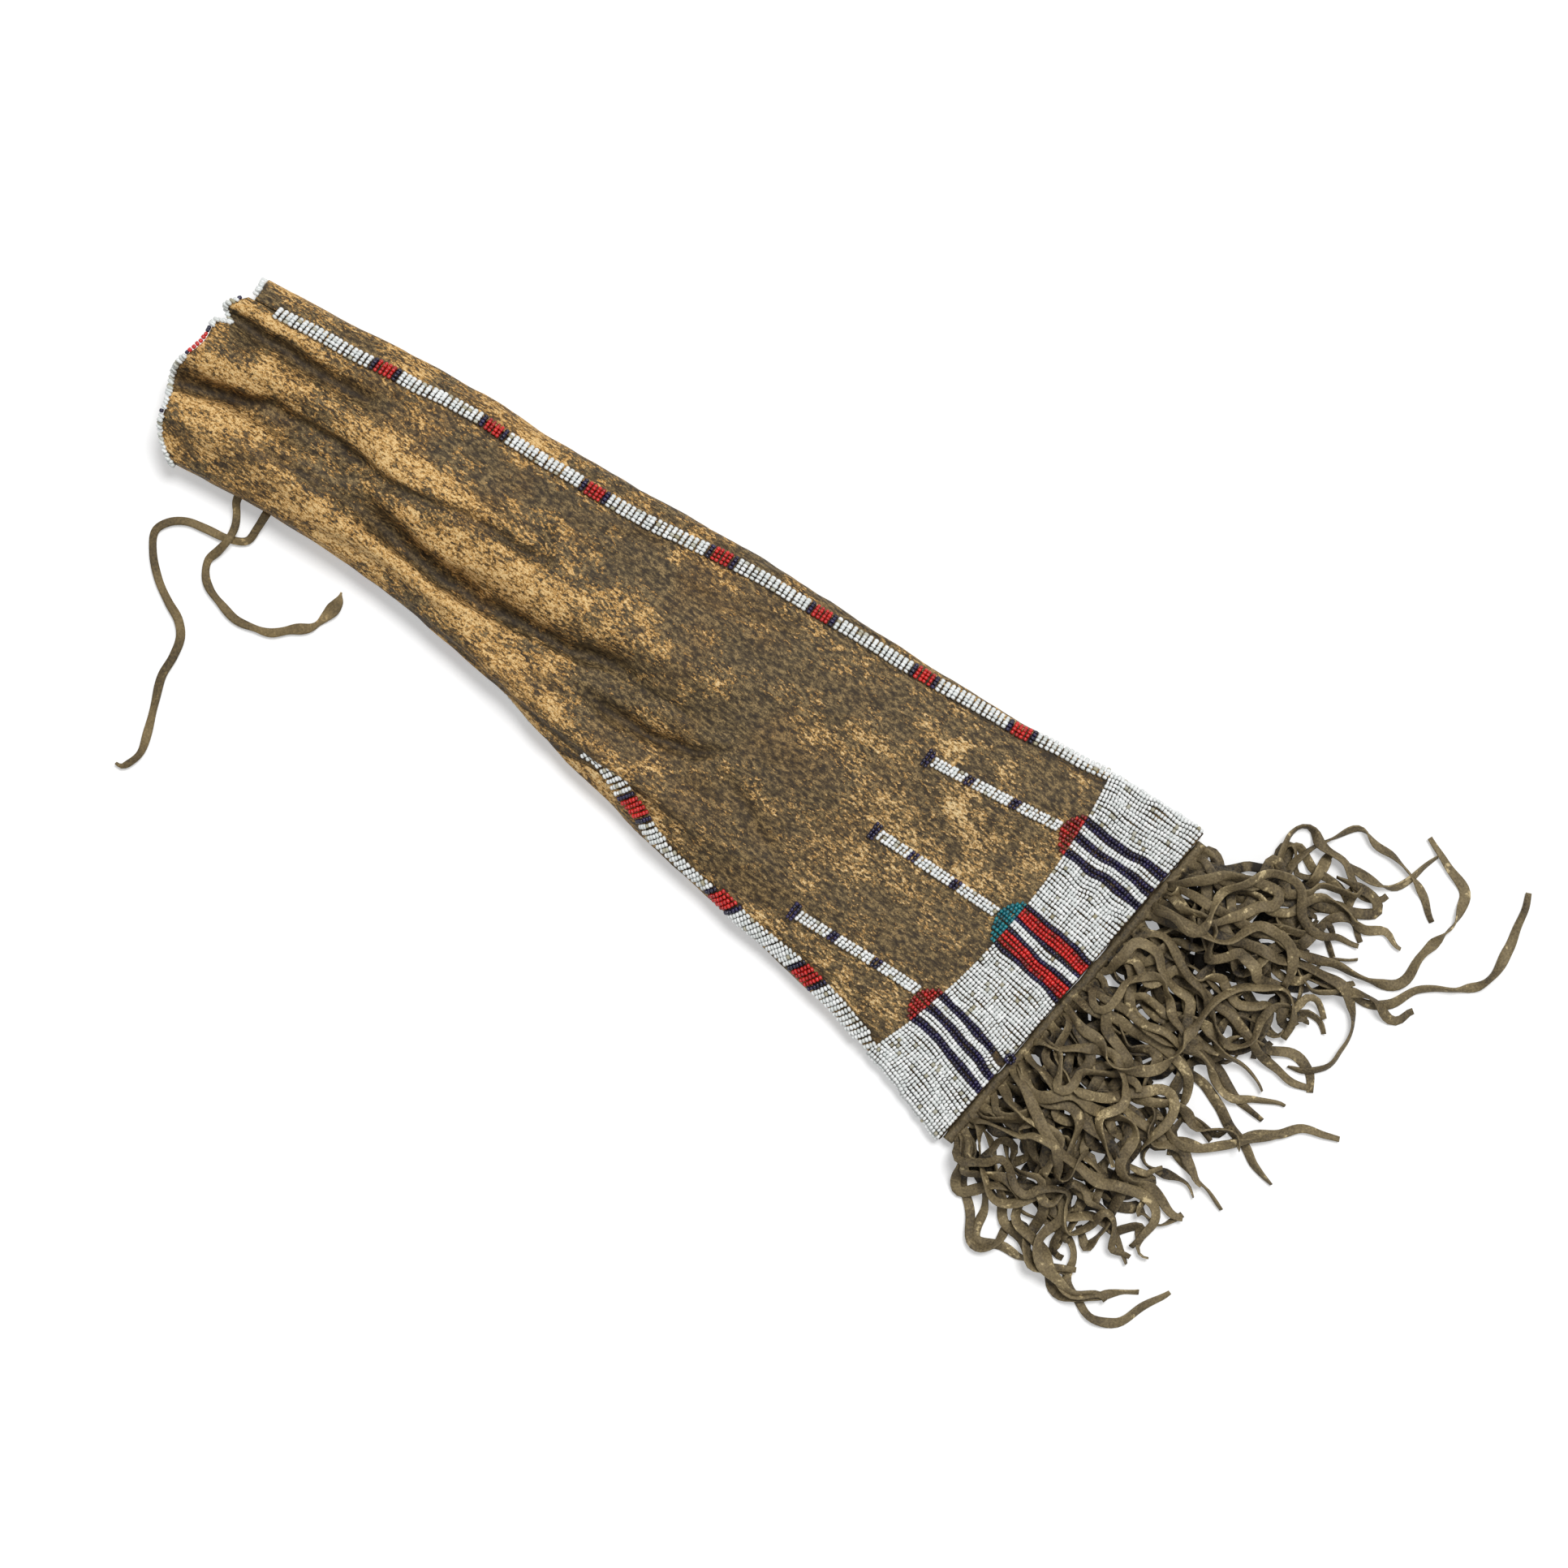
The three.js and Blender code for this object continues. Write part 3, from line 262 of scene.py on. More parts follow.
lower_edge_at = profile([
    [0, LOWER_MOUTH_HEIGHT], [0.2, LOWER_EDGE_HEIGHT], [0.44, LOWER_EDGE_HEIGHT],
    [0.6, BOTTOM_EDGE_HEIGHT + 2 * SEAM_SLACK], [0.85, BOTTOM_EDGE_HEIGHT + SEAM_SLACK],
    [1, BOTTOM_EDGE_HEIGHT],
])
dome_power_at = profile([[0, 2.4], [0.6, 2.6], [0.85, 5], [1, 12]])

# Seams, as shares of how far the upper one lies in from the edge and the lower one rolls up over its edge
upper_seam_share_at = profile([
    [0, 0.92], [0.14, 1], [0.25, 0.9], [0.365, 0.98], [0.5, 0.675], [0.6, 0.55], [0.71, 0.375],
    [0.86, 0.25], [1, 0.13],
])
lower_seam_share_at = profile([
    [0, -0.31], [0.12, -0.62], [0.4, -0.69], [0.47, -0.23], [0.525, 0.85], [0.575, 1], [0.605, 0.62],
    [0.65, 0.485], [0.8, 0.46], [0.9, 0.385], [1, 0.23],
])

# Folds in the front hide: rise, reach and a line of [share along, share across] points
FOLDS = [
    (-9, 10, [[-0.024, -0.37], [0.074, -0.13], [0.144, -0.08], [0.232, -0.18]]),
    (5, 10, [[-0.024, 0.07], [0.106, 0.14], [0.214, 0.01], [0.368, 0.13]]),
    (-9, 8, [[0.202, -0.49], [0.282, -0.55], [0.408, -0.48], [0.474, -0.28], [0.532, -0.22]]),
    (-5, 8, [[0.47, -0.5], [0.53, -0.5], [0.584, -0.38], [0.612, -0.24]]),
    (-5, 8, [[-0.024, 0.48], [0.05, 0.42], [0.12, 0.38], [0.22, 0.4]]),
    (4, 10, [[-0.024, -0.67], [0.1, -0.58], [0.2, -0.77], [0.3, -0.79]]),
    (4, 13, [[0.28, -0.23], [0.38, -0.16], [0.5, 0.04], [0.6, 0.13]]),
]
FOLD_END = 30.0
FOLD_FADE_FROM = 0.62
FOLD_FADE_TO = 0.9

# Creases finer than the frame's folds: rise, reach and a line of (x, y) points
VALLEY = -4.2
SHALLOW = -2.0
RIDGE = 2.6
CREASES = [
    (VALLEY, 3.6, [(-290, -48), (-255, -31), (-234, -23), (-213, -12), (-187, -7.5), (-159, -5),
                   (-140, -8)]),
    (VALLEY, 3.4, [(-160, -24), (-132, -25), (-97, -26), (-66, -24), (-36, -19), (-10, -12), (22, -10)]),
    (VALLEY, 3.2, [(-158, -8), (-134, -5), (-108, 3), (-78, 7), (-55, 9)]),
    (SHALLOW, 5, [(-150, 24), (-110, 31), (-69, 34), (-37, 49), (-20, 52)]),
    (VALLEY, 3.2, [(-290, 7), (-252, 10), (-228, 12), (-186, 16), (-165, 17)]),
    (SHALLOW, 3, [(-222, -29), (-191, -29.5), (-161, -26), (-145, -25)]),
    (RIDGE, 4, [(-290, -26), (-246, -16), (-212, -10), (-170, -3), (-136, -2.5), (-102, 6), (-58, 12)]),
    (RIDGE, 4, [(-290, -46), (-252, -34), (-227, -27), (-200, -25), (-180, -24)]),
    (RIDGE, 4, [(-160, -12), (-137, -15), (-112, -16), (-76, -13)]),
    (RIDGE, 4, [(-185, -47), (-149, -37), (-105, -32), (-60, -44)]),
    (RIDGE, 4, [(-290, 9), (-255, 13), (-227, 20), (-195, 22)]),
    (RIDGE, 2.6, [(-125, -37), (-87, -34), (-63, -29.5), (-36, -22.5), (-8, -15), (10, -13)]),
    (VALLEY, 2.6, [(-30, -28), (2, -29), (32, -24), (44, -20), (62, -6)]),
    (SHALLOW, 2.5, [(5, -9), (13, -9), (28, -9), (36, -9)]),
    (SHALLOW, 4, [(-20, 37), (4, 41), (34, 53), (55, 57)]),
    (SHALLOW, 4, [(55, -18), (80, -27), (105, -37)]),
    (SHALLOW, 1.6, [(-74, 23), (-68, 15), (-63, 6)]),
]
CREASE_TAPER = 0.22
CREASE_WOBBLES = ((1.3, 11, 11, 61), (1.3, 11, 11, 62))

# Lip of the front hide over the lower seam: places along it as (x, y, height)
LIP = np.array([
    (-112, -46.2, 0), (-80, -46.4, 1.6), (-51, -49, 2.4), (-20, -50.5, 3.6), (10, -50.8, 4.4),
    (31, -48.7, 4), (55, -48, 2.4), (74, -51, 0),
])
LIP_STEP = 1.8
LIP_REACH = 15.0

# Crumpling of the hide, as waves of noise along the bag and round it
LONG_FOLDS = (0.9, 55, 10, 1)
CRUMPLE = (0.6, 21, 17, 2)
FINE_CRUMPLE = (0.25, 7.5, 6.1, 3)
LONG_FOLDS_FADE = (0.5, 0.85)
LONG_FOLDS_LEAST = 0.35
CRUMPLE_UNDER_BAND = 0.15
FLOOR_CLEAR = (0.5, 6)


def share_of(x):
    return x / BODY_LENGTH + 0.5


def near_line(x, y, line):
    """Distance from plan points to a line of points, and the share along the line of the nearest place."""
    best = np.full(np.shape(x), np.inf)
    along = np.zeros(np.shape(x))
    steps = np.diff(line, axis=0)
    for i, step in enumerate(steps):
        dx = x - line[i, 0]
        dy = y - line[i, 1]
        t = clamp01((dx * step[0] + dy * step[1]) / (step @ step))
        distance = np.hypot(dx - t * step[0], dy - t * step[1])
        along = np.where(distance < best, (i + t) / len(steps), along)
        best = np.minimum(best, distance)
    return best, along


def fold_line(line):
    """Plan points in millimetres of a line of [share along, share across] points."""
    along, across = np.array(line).T
    return np.stack([(along - 0.5) * BODY_LENGTH, middle_at(along) + across * width_at(along) / 2], 1)


FOLD_LINES = [(rise, reach, fold_line(line)) for rise, reach, line in FOLDS]
CREASE_LINES = [(rise, reach, np.array(line, float)) for rise, reach, line in CREASES]


def fold_rise(x, y):
    rise = np.zeros(np.shape(x))
    for height, reach, line in FOLD_LINES:
        start = line[0, 0]
        end = line[-1, 0]
        fade = smoothstep(x, start - FOLD_END, start + FOLD_END) * (1 - smoothstep(x, end - FOLD_END, end))
        rise = rise + height * fade * np.exp(-((near_line(x, y, line)[0] / reach) ** 2))
    return rise


def crease_rise(x, y):
    wobbled_x = x + ripple(x, y, CREASE_WOBBLES[0])
    wobbled_y = y + ripple(x, y, CREASE_WOBBLES[1])
    rise = np.zeros(np.shape(x))
    for height, reach, line in CREASE_LINES:
        distance, along = near_line(wobbled_x, wobbled_y, line)
        taper = smoothstep(along, 0, CREASE_TAPER) * (1 - smoothstep(along, 1 - CREASE_TAPER, 1))
        rise = rise + height * taper * np.exp(-((distance / reach) ** 2))
    return rise


def lip_inward(x, y):
    """How far a plan point lies inside the lip of the front hide."""
    return y - np.interp(x, LIP[:, 0], LIP[:, 1])


def lip_rise(x, y):
    inward = lip_inward(x, y)
    step = smoothstep(inward, -LIP_STEP / 2, LIP_STEP / 2) * (1 - smoothstep(inward, LIP_STEP, LIP_REACH))
    return np.interp(x, LIP[:, 0], LIP[:, 2]) * step


def floor_lift_at(x):
    end = BAND_TOP_X - BAND_EDGE_SWEEP - LIFT_MARGIN
    return FLOOR_LIFT * smoothstep(x, end - LIFT_LENGTH, end)


def is_over(angle):
    return np.mod(angle, TURN) <= math.pi


def skin(x, angle):
    """Outer skin of the hide tube: angle 0 at the upper edge, over the top to half a turn at the lower."""
    x, angle = np.broadcast_arrays(np.asarray(x, float), np.asarray(angle, float))
    share = share_of(x)
    half = width_at(share) / 2
    across = np.cos(angle)
    y = middle_at(share) + half * across
    upper = upper_edge_at(share)
    lower = lower_edge_at(share)
    edge = lerp(lower, upper, (across + 1) / 2)
    dome = np.sqrt(np.maximum(1 - np.abs(across) ** dome_power_at(share), 0))
    fold_mask = 1 - smoothstep(np.abs(across), FOLD_FADE_FROM, FOLD_FADE_TO)
    over = edge + (crest_at(share) - edge) * dome + fold_mask * fold_rise(x, y)
    lift = floor_lift_at(x)
    roundness = np.where(across > 0, upper, lower - LOWER_EDGE_TUCK)
    reach = np.maximum(1 - half * (1 - np.abs(across)) / roundness, 0)
    under = lift + (edge - lift) * (1 - np.sqrt(np.maximum(1 - reach**2, 0)))
    return np.stack([x, y, np.where(is_over(angle), over, under)], -1)


PROBE = 1e-3
PROBE_X = 0.5
PASSES = 6


def skin_normal(x, angle):
    along = skin(x + PROBE_X, angle) - skin(x - PROBE_X, angle)
    around = skin(x, angle + PROBE) - skin(x, angle - PROBE)
    return unit(np.cross(around, along))


def walk(x, angle, distance):
    """Moves round the section from an angle by an arc length."""
    at = np.asarray(angle, float)
    for _ in range(PASSES):
        speed = np.linalg.norm(skin(x, at + PROBE) - skin(x, at - PROBE), axis=-1) / (2 * PROBE)
        at = at + distance / PASSES / speed
    return at


# Angles of the seams and of the panels' edges at close places along the bag, and a little past its ends
SEAM_STEP = 0.5
SEAM_HALF = BODY_LENGTH / 2 + 30
SEAM_X = np.arange(-SEAM_HALF, SEAM_HALF, SEAM_STEP)
SEAM_SHARE = share_of(SEAM_X)
UPPER_SEAM = np.arccos(1 - 2 * UPPER_SEAM_INSET * upper_seam_share_at(SEAM_SHARE) / width_at(SEAM_SHARE))
LOWER_SEAM = walk(SEAM_X, math.pi, -LOWER_SEAM_ROLL * lower_seam_share_at(SEAM_SHARE))
PANEL_EDGES = {
    "front": (walk(SEAM_X, UPPER_SEAM, SEAM_GAP / 2), walk(SEAM_X, LOWER_SEAM, -SEAM_GAP / 2)),
    "back": (walk(SEAM_X, LOWER_SEAM, SEAM_GAP / 2), walk(SEAM_X, UPPER_SEAM, -SEAM_GAP / 2) + TURN),
}


def mouth_shift(across, side):
    """How far the wavy rim of the mouth lies along the bag."""
    if side == "back":
        return BACK_SETBACK - BACK_LEAN * across + RIM_WAVE * np.cos(BACK_WAVES * across)
    fall = np.where(across < 0, -LOWER_LIP_FALL * across**3, UPPER_LIP_FALL * across**5)
    notch = NOTCH_DEPTH * np.exp(-(((across - NOTCH_ACROSS) / NOTCH_REACH) ** 2))
    return fall - FRONT_LIP + RIM_WAVE * np.sin(FRONT_WAVES * across) + notch


def station_x(along, angle, side):
    across = np.cos(angle)
    mouth = mouth_shift(across, side) * (1 - smoothstep(along, 0, MOUTH_ZONE))
    skew = BOTTOM_SKEW * across * (BOTTOM_WIDTH / 2) * smoothstep(along, SKEW_FROM, SKEW_TO)
    return (along - 0.5) * BODY_LENGTH + mouth + skew


def panel_angle(x, side, column):
    low, high = PANEL_EDGES[side]
    return lerp(np.interp(x, SEAM_X, low), np.interp(x, SEAM_X, high), column)


def panel_places(side, along, column):
    """x and angle at shares along the bag and across a panel."""
    x = (along - 0.5) * BODY_LENGTH + 0 * column
    for _ in range(PASSES):
        angle = panel_angle(x, side, column)
        x = station_x(along, angle, side)
    return x, angle


def wrinkle(x, angle):
    """How far the crumpled hide stands above the smooth skin."""
    share = share_of(x)
    arc = angle * width_at(share) / 2
    long_share = lerp(1, LONG_FOLDS_LEAST, smoothstep(share, *LONG_FOLDS_FADE))
    at_band = smoothstep(x, BAND_TOP_X - 2 * BAND_EDGE_SWEEP, BAND_TOP_X)
    rise = ripple(x, arc, LONG_FOLDS) * long_share + ripple(x, arc, CRUMPLE) + ripple(x, arc, FINE_CRUMPLE)
    return lerp(1, CRUMPLE_UNDER_BAND, at_band) * rise


def on_hide(x, angle, with_lip=True):
    """Point and normal of the crumpled hide."""
    normal = skin_normal(x, angle)
    point = skin(x, angle)
    clear_of_floor = smoothstep(point[..., 2] - floor_lift_at(x), *FLOOR_CLEAR)
    creased = np.where(is_over(angle), crease_rise(point[..., 0], point[..., 1]), 0)
    raised = point + normal * (wrinkle(x, angle) * clear_of_floor + creased)[..., None]
    if with_lip:
        raised[..., 2] += np.where(is_over(angle), lip_rise(point[..., 0], point[..., 1]), 0)
    return raised, normal


# Mesh helpers
def add_object(name, data):
    thing = bpy.data.objects.new(name, data)
    bpy.context.scene.collection.objects.link(thing)
    return thing


def make_piece(name, points, faces, material, attributes, nodes=()):
    """A smooth mesh object in the frame's place, with values kept at its points."""
    mesh = bpy.data.meshes.new(name)
    mesh.from_pydata((np.asarray(points) * MM).tolist(), [], faces)
    for key, values in attributes.items():
        layer = mesh.attributes.new(key, "FLOAT", "POINT")
        layer.data.foreach_set("value", np.asarray(values, np.float32))
    mesh.polygons.foreach_set("use_smooth", np.ones(len(mesh.polygons), bool))
    mesh.materials.append(material)
    piece = add_object(name, mesh)
    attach(piece, "root")
    if nodes:
        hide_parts(*nodes)
    return piece


def slab_faces(rows, columns):
    """Quads of a closed slab: a top grid, a bottom grid and the walls between them."""
    index = np.arange(rows * columns).reshape(rows, columns)
    top = np.stack([index[:-1, :-1], index[1:, :-1], index[1:, 1:], index[:-1, 1:]], -1).reshape(-1, 4)
    below = rows * columns
    bottom = top[:, ::-1] + below
    rim = np.concatenate([index[0, :-1], index[:-1, -1], index[-1, :0:-1], index[:0:-1, 0]])
    ahead = np.roll(rim, -1)
    walls = np.stack([rim, ahead, ahead + below, rim + below], -1)
    return np.concatenate([top, bottom, walls])


def tube_faces(rings, sides):
    """Quads of a tube of rings, and the two end rings to close it."""
    index = np.arange(rings * sides).reshape(rings, sides)
    ahead = np.roll(index, -1, axis=1)
    quads = np.stack([index[:-1], ahead[:-1], ahead[1:], index[1:]], -1).reshape(-1, 4)
    return quads, index[0][::-1], index[-1]


CURVE_STEPS = 24


def between(t, start, end, a, b):
    """Where a move from a to b has come at t, if it starts and ends at the given values of t."""
    return ((end - t) * a + (t - start) * b) / (end - start)


def smooth_path(points, count):
    """Evenly spaced points on a centripetal curve through the given ones."""
    points = np.asarray(points, float)
    padded = np.concatenate([[2 * points[0] - points[1]], points, [2 * points[-1] - points[-2]]])
    fine = []
    for p0, p1, p2, p3 in zip(padded[:-3], padded[1:-2], padded[2:-1], padded[3:]):
        t1 = np.linalg.norm(p1 - p0) ** 0.5
        t2 = t1 + np.linalg.norm(p2 - p1) ** 0.5
        t3 = t2 + np.linalg.norm(p3 - p2) ** 0.5
        t = np.linspace(t1, t2, CURVE_STEPS, endpoint=False)[:, None]
        first = between(t, 0, t1, p0, p1)
        second = between(t, t1, t2, p1, p2)
        third = between(t, t2, t3, p2, p3)
        earlier = between(t, 0, t2, first, second)
        later = between(t, t1, t3, second, third)
        fine.append(between(t, t1, t2, earlier, later))
    curve = np.concatenate(fine + [points[-1:]])
    reach = np.concatenate([[0], np.cumsum(np.linalg.norm(np.diff(curve, axis=0), axis=1))])
    even = np.linspace(0, reach[-1], count)
    return np.stack([np.interp(even, reach, curve[:, k]) for k in range(curve.shape[1])], 1)


# Materials
def linear(red, green, blue):
    """Linear colour of an 8-bit screen colour."""
    def channel(value):
        s = value / 255
        return s / 12.92 if s <= 0.04045 else ((s + 0.055) / 1.055) ** 2.4
    return (channel(red), channel(green), channel(blue), 1)


class Nodes:
    """A material's node tree with short calls to add and join nodes."""

    def __init__(self, name):
        self.material = bpy.data.materials.new(name)
        self.material.use_nodes = True
        self.tree = self.material.node_tree
        self.shader = self.tree.nodes["Principled BSDF"]

    def put(self, socket, value):
        if isinstance(value, bpy.types.NodeSocket):
            self.tree.links.new(value, socket)
        else:
            socket.default_value = value

    def add(self, kind, inputs, output, **settings):
        """Adds a node with its inputs and settings, and gives the named or numbered output."""
        node = self.tree.nodes.new(f"ShaderNode{kind}")
        for name, setting in settings.items():
            setattr(node, name, setting)
        for key, value in inputs.items():
            self.put(node.inputs[key], value)
        return node.outputs[output]

    def math(self, operation, *values, clamp=False):
        return self.add("Math", dict(enumerate(values)), 0, operation=operation, use_clamp=clamp)

    def above(self, value, level, gain):
        """How far a value lies above a level, or below it where the gain is negative, from 0 to 1."""
        return self.math("MULTIPLY", self.math("SUBTRACT", value, level), gain, clamp=True)

    def noise(self, place, scale, detail):
        inputs = {"Vector": place, "Scale": scale, "Detail": detail, "Roughness": NOISE_ROUGHNESS}
        return self.add("TexNoise", inputs, "Fac")

    def place(self, stretch=(1, 1, 1)):
        coordinates = self.add("TexCoord", {}, "Object")
        return self.add("Mapping", {"Vector": coordinates, "Scale": stretch}, "Vector")

    def attribute(self, name):
        return self.add("Attribute", {}, "Fac", attribute_name=name)

    def ramp(self, value, stops):
        node = self.tree.nodes.new("ShaderNodeValToRGB")
        stops = list(stops)
        elements = node.color_ramp.elements
        while len(elements) < len(stops):
            elements.new(1)
        for element, (position, colour) in zip(elements, stops):
            element.position = position
            element.color = linear(*colour)
        self.put(node.inputs["Fac"], value)
        return node.outputs["Color"]

    def mix(self, share, a, b):
        """A mix of two colours; the node's colour sockets are known by number alone."""
        return self.add("Mix", {0: share, 6: a, 7: b}, 2, data_type="RGBA")

    def bump(self, height, distance, strength):
        inputs = {"Height": height, "Distance": distance, "Strength": strength}
        self.put(self.shader.inputs["Normal"], self.add("Bump", inputs, "Normal"))

    def gloss(self, roughness, specular):
        self.put(self.shader.inputs["Roughness"], roughness)
        self.shader.inputs["Specular IOR Level"].default_value = specular


# Worn hide: a greasy olive ground with dark specks, and crisp golden flecks where it is worn
# Noise is given as (cells to a metre, detail), and colours as ramps of (value, screen colour)
NOISE_ROUGHNESS = 0.6
DRAWN_OUT = (0.48, 1, 1)
HIDE_GRAIN = (1500, 2)
HIDE_MOTTLE = (620, 5)
HIDE_STAIN = (26, 3)
HIDE_DOTS = (1100, 2)
FINE_FLECKS = (840, 3)
BROAD_FLECKS = (260, 3)
BROAD_SHARE = 0.28
FLECK_RANGE = 0.36
FLECK_EDGE = 18.0
PALE_GRAIN = 1.6
PALE_FLECKS = 3.2
PALE_LEVEL = -0.6
SPECK_LEVEL = (0.49, -7.0)
DOT_LEVEL = (0.59, 16.0)
DOT_DARKNESS = 0.72
STAIN_LEVEL = (0.47, 4.0)
SPECK_COLOUR = (62, 49, 35)
DOT_COLOUR = (54, 42, 28)
# Colour of the painted shade in creases, under the lip and under the beads
PAINTED_SHADE_COLOUR = (44, 35, 25)
OLIVE = [(0.38, (46, 37, 25)), (0.5, (95, 80, 54)), (0.62, (154, 130, 88))]
ORANGE = [(0.38, (60, 40, 19)), (0.5, (118, 84, 41)), (0.62, (176, 131, 70))]
COOL_GOLD = [(0.05, (138, 105, 60)), (0.3, (192, 151, 92)), (0.7, (240, 214, 164))]
WARM_GOLD = [(0.05, (140, 98, 44)), (0.3, (198, 146, 74)), (0.7, (240, 198, 130))]
HIDE_ROUGHNESS = 0.58
GOLD_ROUGHER = 0.25
HIDE_SPECULAR = 0.22
GRAIN_IN_BUMP = 0.5
HIDE_BUMP = (0.0006, 0.8)


def hide_material():
    nodes = Nodes("worn_hide")
    place = nodes.place()
    drawn_out = nodes.place(DRAWN_OUT)
    grain = nodes.noise(place, *HIDE_GRAIN)
    mottle = nodes.noise(drawn_out, *HIDE_MOTTLE)
    fleck = nodes.math("MULTIPLY", nodes.noise(drawn_out, *FINE_FLECKS), 1 - BROAD_SHARE)
    fleck = nodes.math("MULTIPLY_ADD", nodes.noise(drawn_out, *BROAD_FLECKS), BROAD_SHARE, fleck)
    level = nodes.math("MULTIPLY_ADD", nodes.attribute("wear_and_shading"), -FLECK_RANGE, 0.5 + FLECK_RANGE / 2)
    bare = nodes.math("SUBTRACT", fleck, level)
    golden = nodes.math("MULTIPLY_ADD", bare, FLECK_EDGE, 0.5, clamp=True)
    paleness = nodes.math("MULTIPLY_ADD", bare, PALE_FLECKS, PALE_LEVEL)
    paleness = nodes.math("MULTIPLY_ADD", grain, PALE_GRAIN, paleness, clamp=True)
    specked = nodes.above(grain, *SPECK_LEVEL)
    dots = nodes.above(nodes.noise(drawn_out, *HIDE_DOTS), *DOT_LEVEL)
    dots = nodes.math("MULTIPLY", dots, DOT_DARKNESS)
    stained = nodes.above(nodes.noise(place, *HIDE_STAIN), *STAIN_LEVEL)
    stained = nodes.math("MULTIPLY", stained, nodes.attribute("warmth"))
    ground = nodes.mix(stained, nodes.ramp(mottle, OLIVE), nodes.ramp(mottle, ORANGE))
    ground = nodes.mix(specked, ground, linear(*SPECK_COLOUR))
    cool = nodes.ramp(paleness, COOL_GOLD)
    pale = nodes.mix(nodes.attribute("warmth"), cool, nodes.ramp(paleness, WARM_GOLD))
    surface = nodes.mix(dots, nodes.mix(golden, ground, pale), linear(*DOT_COLOUR))
    # Painted shade: the hide darkens towards the shade colour in creases, under the lip and under the beads
    colour = nodes.mix(nodes.attribute("painted_shade"), surface, linear(*PAINTED_SHADE_COLOUR))
    nodes.put(nodes.shader.inputs["Base Color"], colour)
    nodes.gloss(nodes.math("MULTIPLY_ADD", golden, GOLD_ROUGHER, HIDE_ROUGHNESS), HIDE_SPECULAR)
    nodes.bump(nodes.math("ADD", fleck, nodes.math("MULTIPLY", grain, GRAIN_IN_BUMP)), *HIDE_BUMP)
    return nodes.material


# Cut thongs: dull hide with pale scuffs
THONG_GRAIN = (900, 3)
THONG_GRAIN_RANGE = 0.9
THONG_BLOTCH = (55, 4)
THONG_BLOTCH_RANGE = 0.8
THONG_SCUFF = (170, 3)
SCUFF_LEVEL = (0.6, 9.0)
SCUFF_RISE = 0.5
THONG_STOPS = (0.12, 0.45, 0.78, 1.0)
THONG_GLOSS = (0.66, 0.35)
THONG_BUMP = (0.0005, 0.7)


def thong_material(name, *colours):
    nodes = Nodes(name)
    place = nodes.place()
    grain = nodes.noise(place, *THONG_GRAIN)
    blotch = nodes.noise(place, *THONG_BLOTCH)
    # The attribute holds each thong's wear, and on the fringe also painted shade deep in the heap
    tone = nodes.attribute("wear_and_shading")
    for pattern, extent in ((blotch, THONG_BLOTCH_RANGE), (grain, THONG_GRAIN_RANGE)):
        tone = nodes.math("ADD", tone, nodes.math("MULTIPLY_ADD", pattern, extent, -extent / 2))
    scuff = nodes.above(nodes.noise(place, *THONG_SCUFF), *SCUFF_LEVEL)
    tone = nodes.math("MULTIPLY_ADD", scuff, SCUFF_RISE, tone)
    nodes.put(nodes.shader.inputs["Base Color"], nodes.ramp(tone, zip(THONG_STOPS, colours)))
    nodes.gloss(*THONG_GLOSS)
    nodes.bump(grain, *THONG_BUMP)
    return nodes.material


# Glass beads, from the dull ones to the bright ones
BEAD_GLOSS = (0.26, 0.5)
BEAD_COLOURS = {
    "white": [
        (0.0, (166, 158, 128)), (0.06, (200, 200, 188)), (0.3, (224, 228, 226)), (1.0, (252, 253, 252)),
    ],
    "navy": [(0.0, (15, 14, 28)), (0.6, (24, 19, 50)), (1.0, (38, 30, 78))],
    "red": [(0.0, (112, 24, 22)), (0.4, (186, 30, 28)), (1.0, (224, 48, 42))],
    "teal": [(0.0, (8, 78, 90)), (0.5, (12, 112, 124)), (1.0, (28, 140, 146))],
}


def bead_material(name, stops):
    nodes = Nodes(name)
    nodes.put(nodes.shader.inputs["Base Color"], nodes.ramp(nodes.attribute("tone"), stops))
    nodes.gloss(*BEAD_GLOSS)
    return nodes.material


HIDE = hide_material()
THONG = thong_material("fringe_hide", (32, 26, 18), (99, 86, 62), (140, 124, 91), (206, 186, 142))
TIE = thong_material("tie_hide", (56, 46, 29), (103, 87, 57), (133, 114, 78), (180, 155, 110))
BEADS = {colour: bead_material(f"{colour}_beads", stops) for colour, stops in BEAD_COLOURS.items()}


# Camera, light and floor
def seen_directly(tree):
    """Share of a ray that comes from the camera, straight or by way of gloss or glass."""
    ray = tree.nodes.new("ShaderNodeLightPath")
    seen = ray.outputs["Is Camera Ray"]
    for kind in ("Is Glossy Ray", "Is Transmission Ray"):
        either = tree.nodes.new("ShaderNodeMath")
        either.operation = "MAXIMUM"
        tree.links.new(seen, either.inputs[0])
        tree.links.new(ray.outputs[kind], either.inputs[1])
        seen = either.outputs[0]
    return seen


def make_camera():
    lens = bpy.data.cameras.new("camera")
    lens.lens = VIEW_LENS
    lens.sensor_width = SENSOR
    lens.clip_end = VIEW_FAR
    camera = add_object("camera", lens)
    distance = VIEW_WIDTH * MM * VIEW_LENS / SENSOR
    camera.location = (VIEW_MIDDLE[0] * MM, VIEW_MIDDLE[1] * MM, distance)
    camera.rotation_euler = (0, 0, VIEW_TURN)
    bpy.context.scene.camera = camera


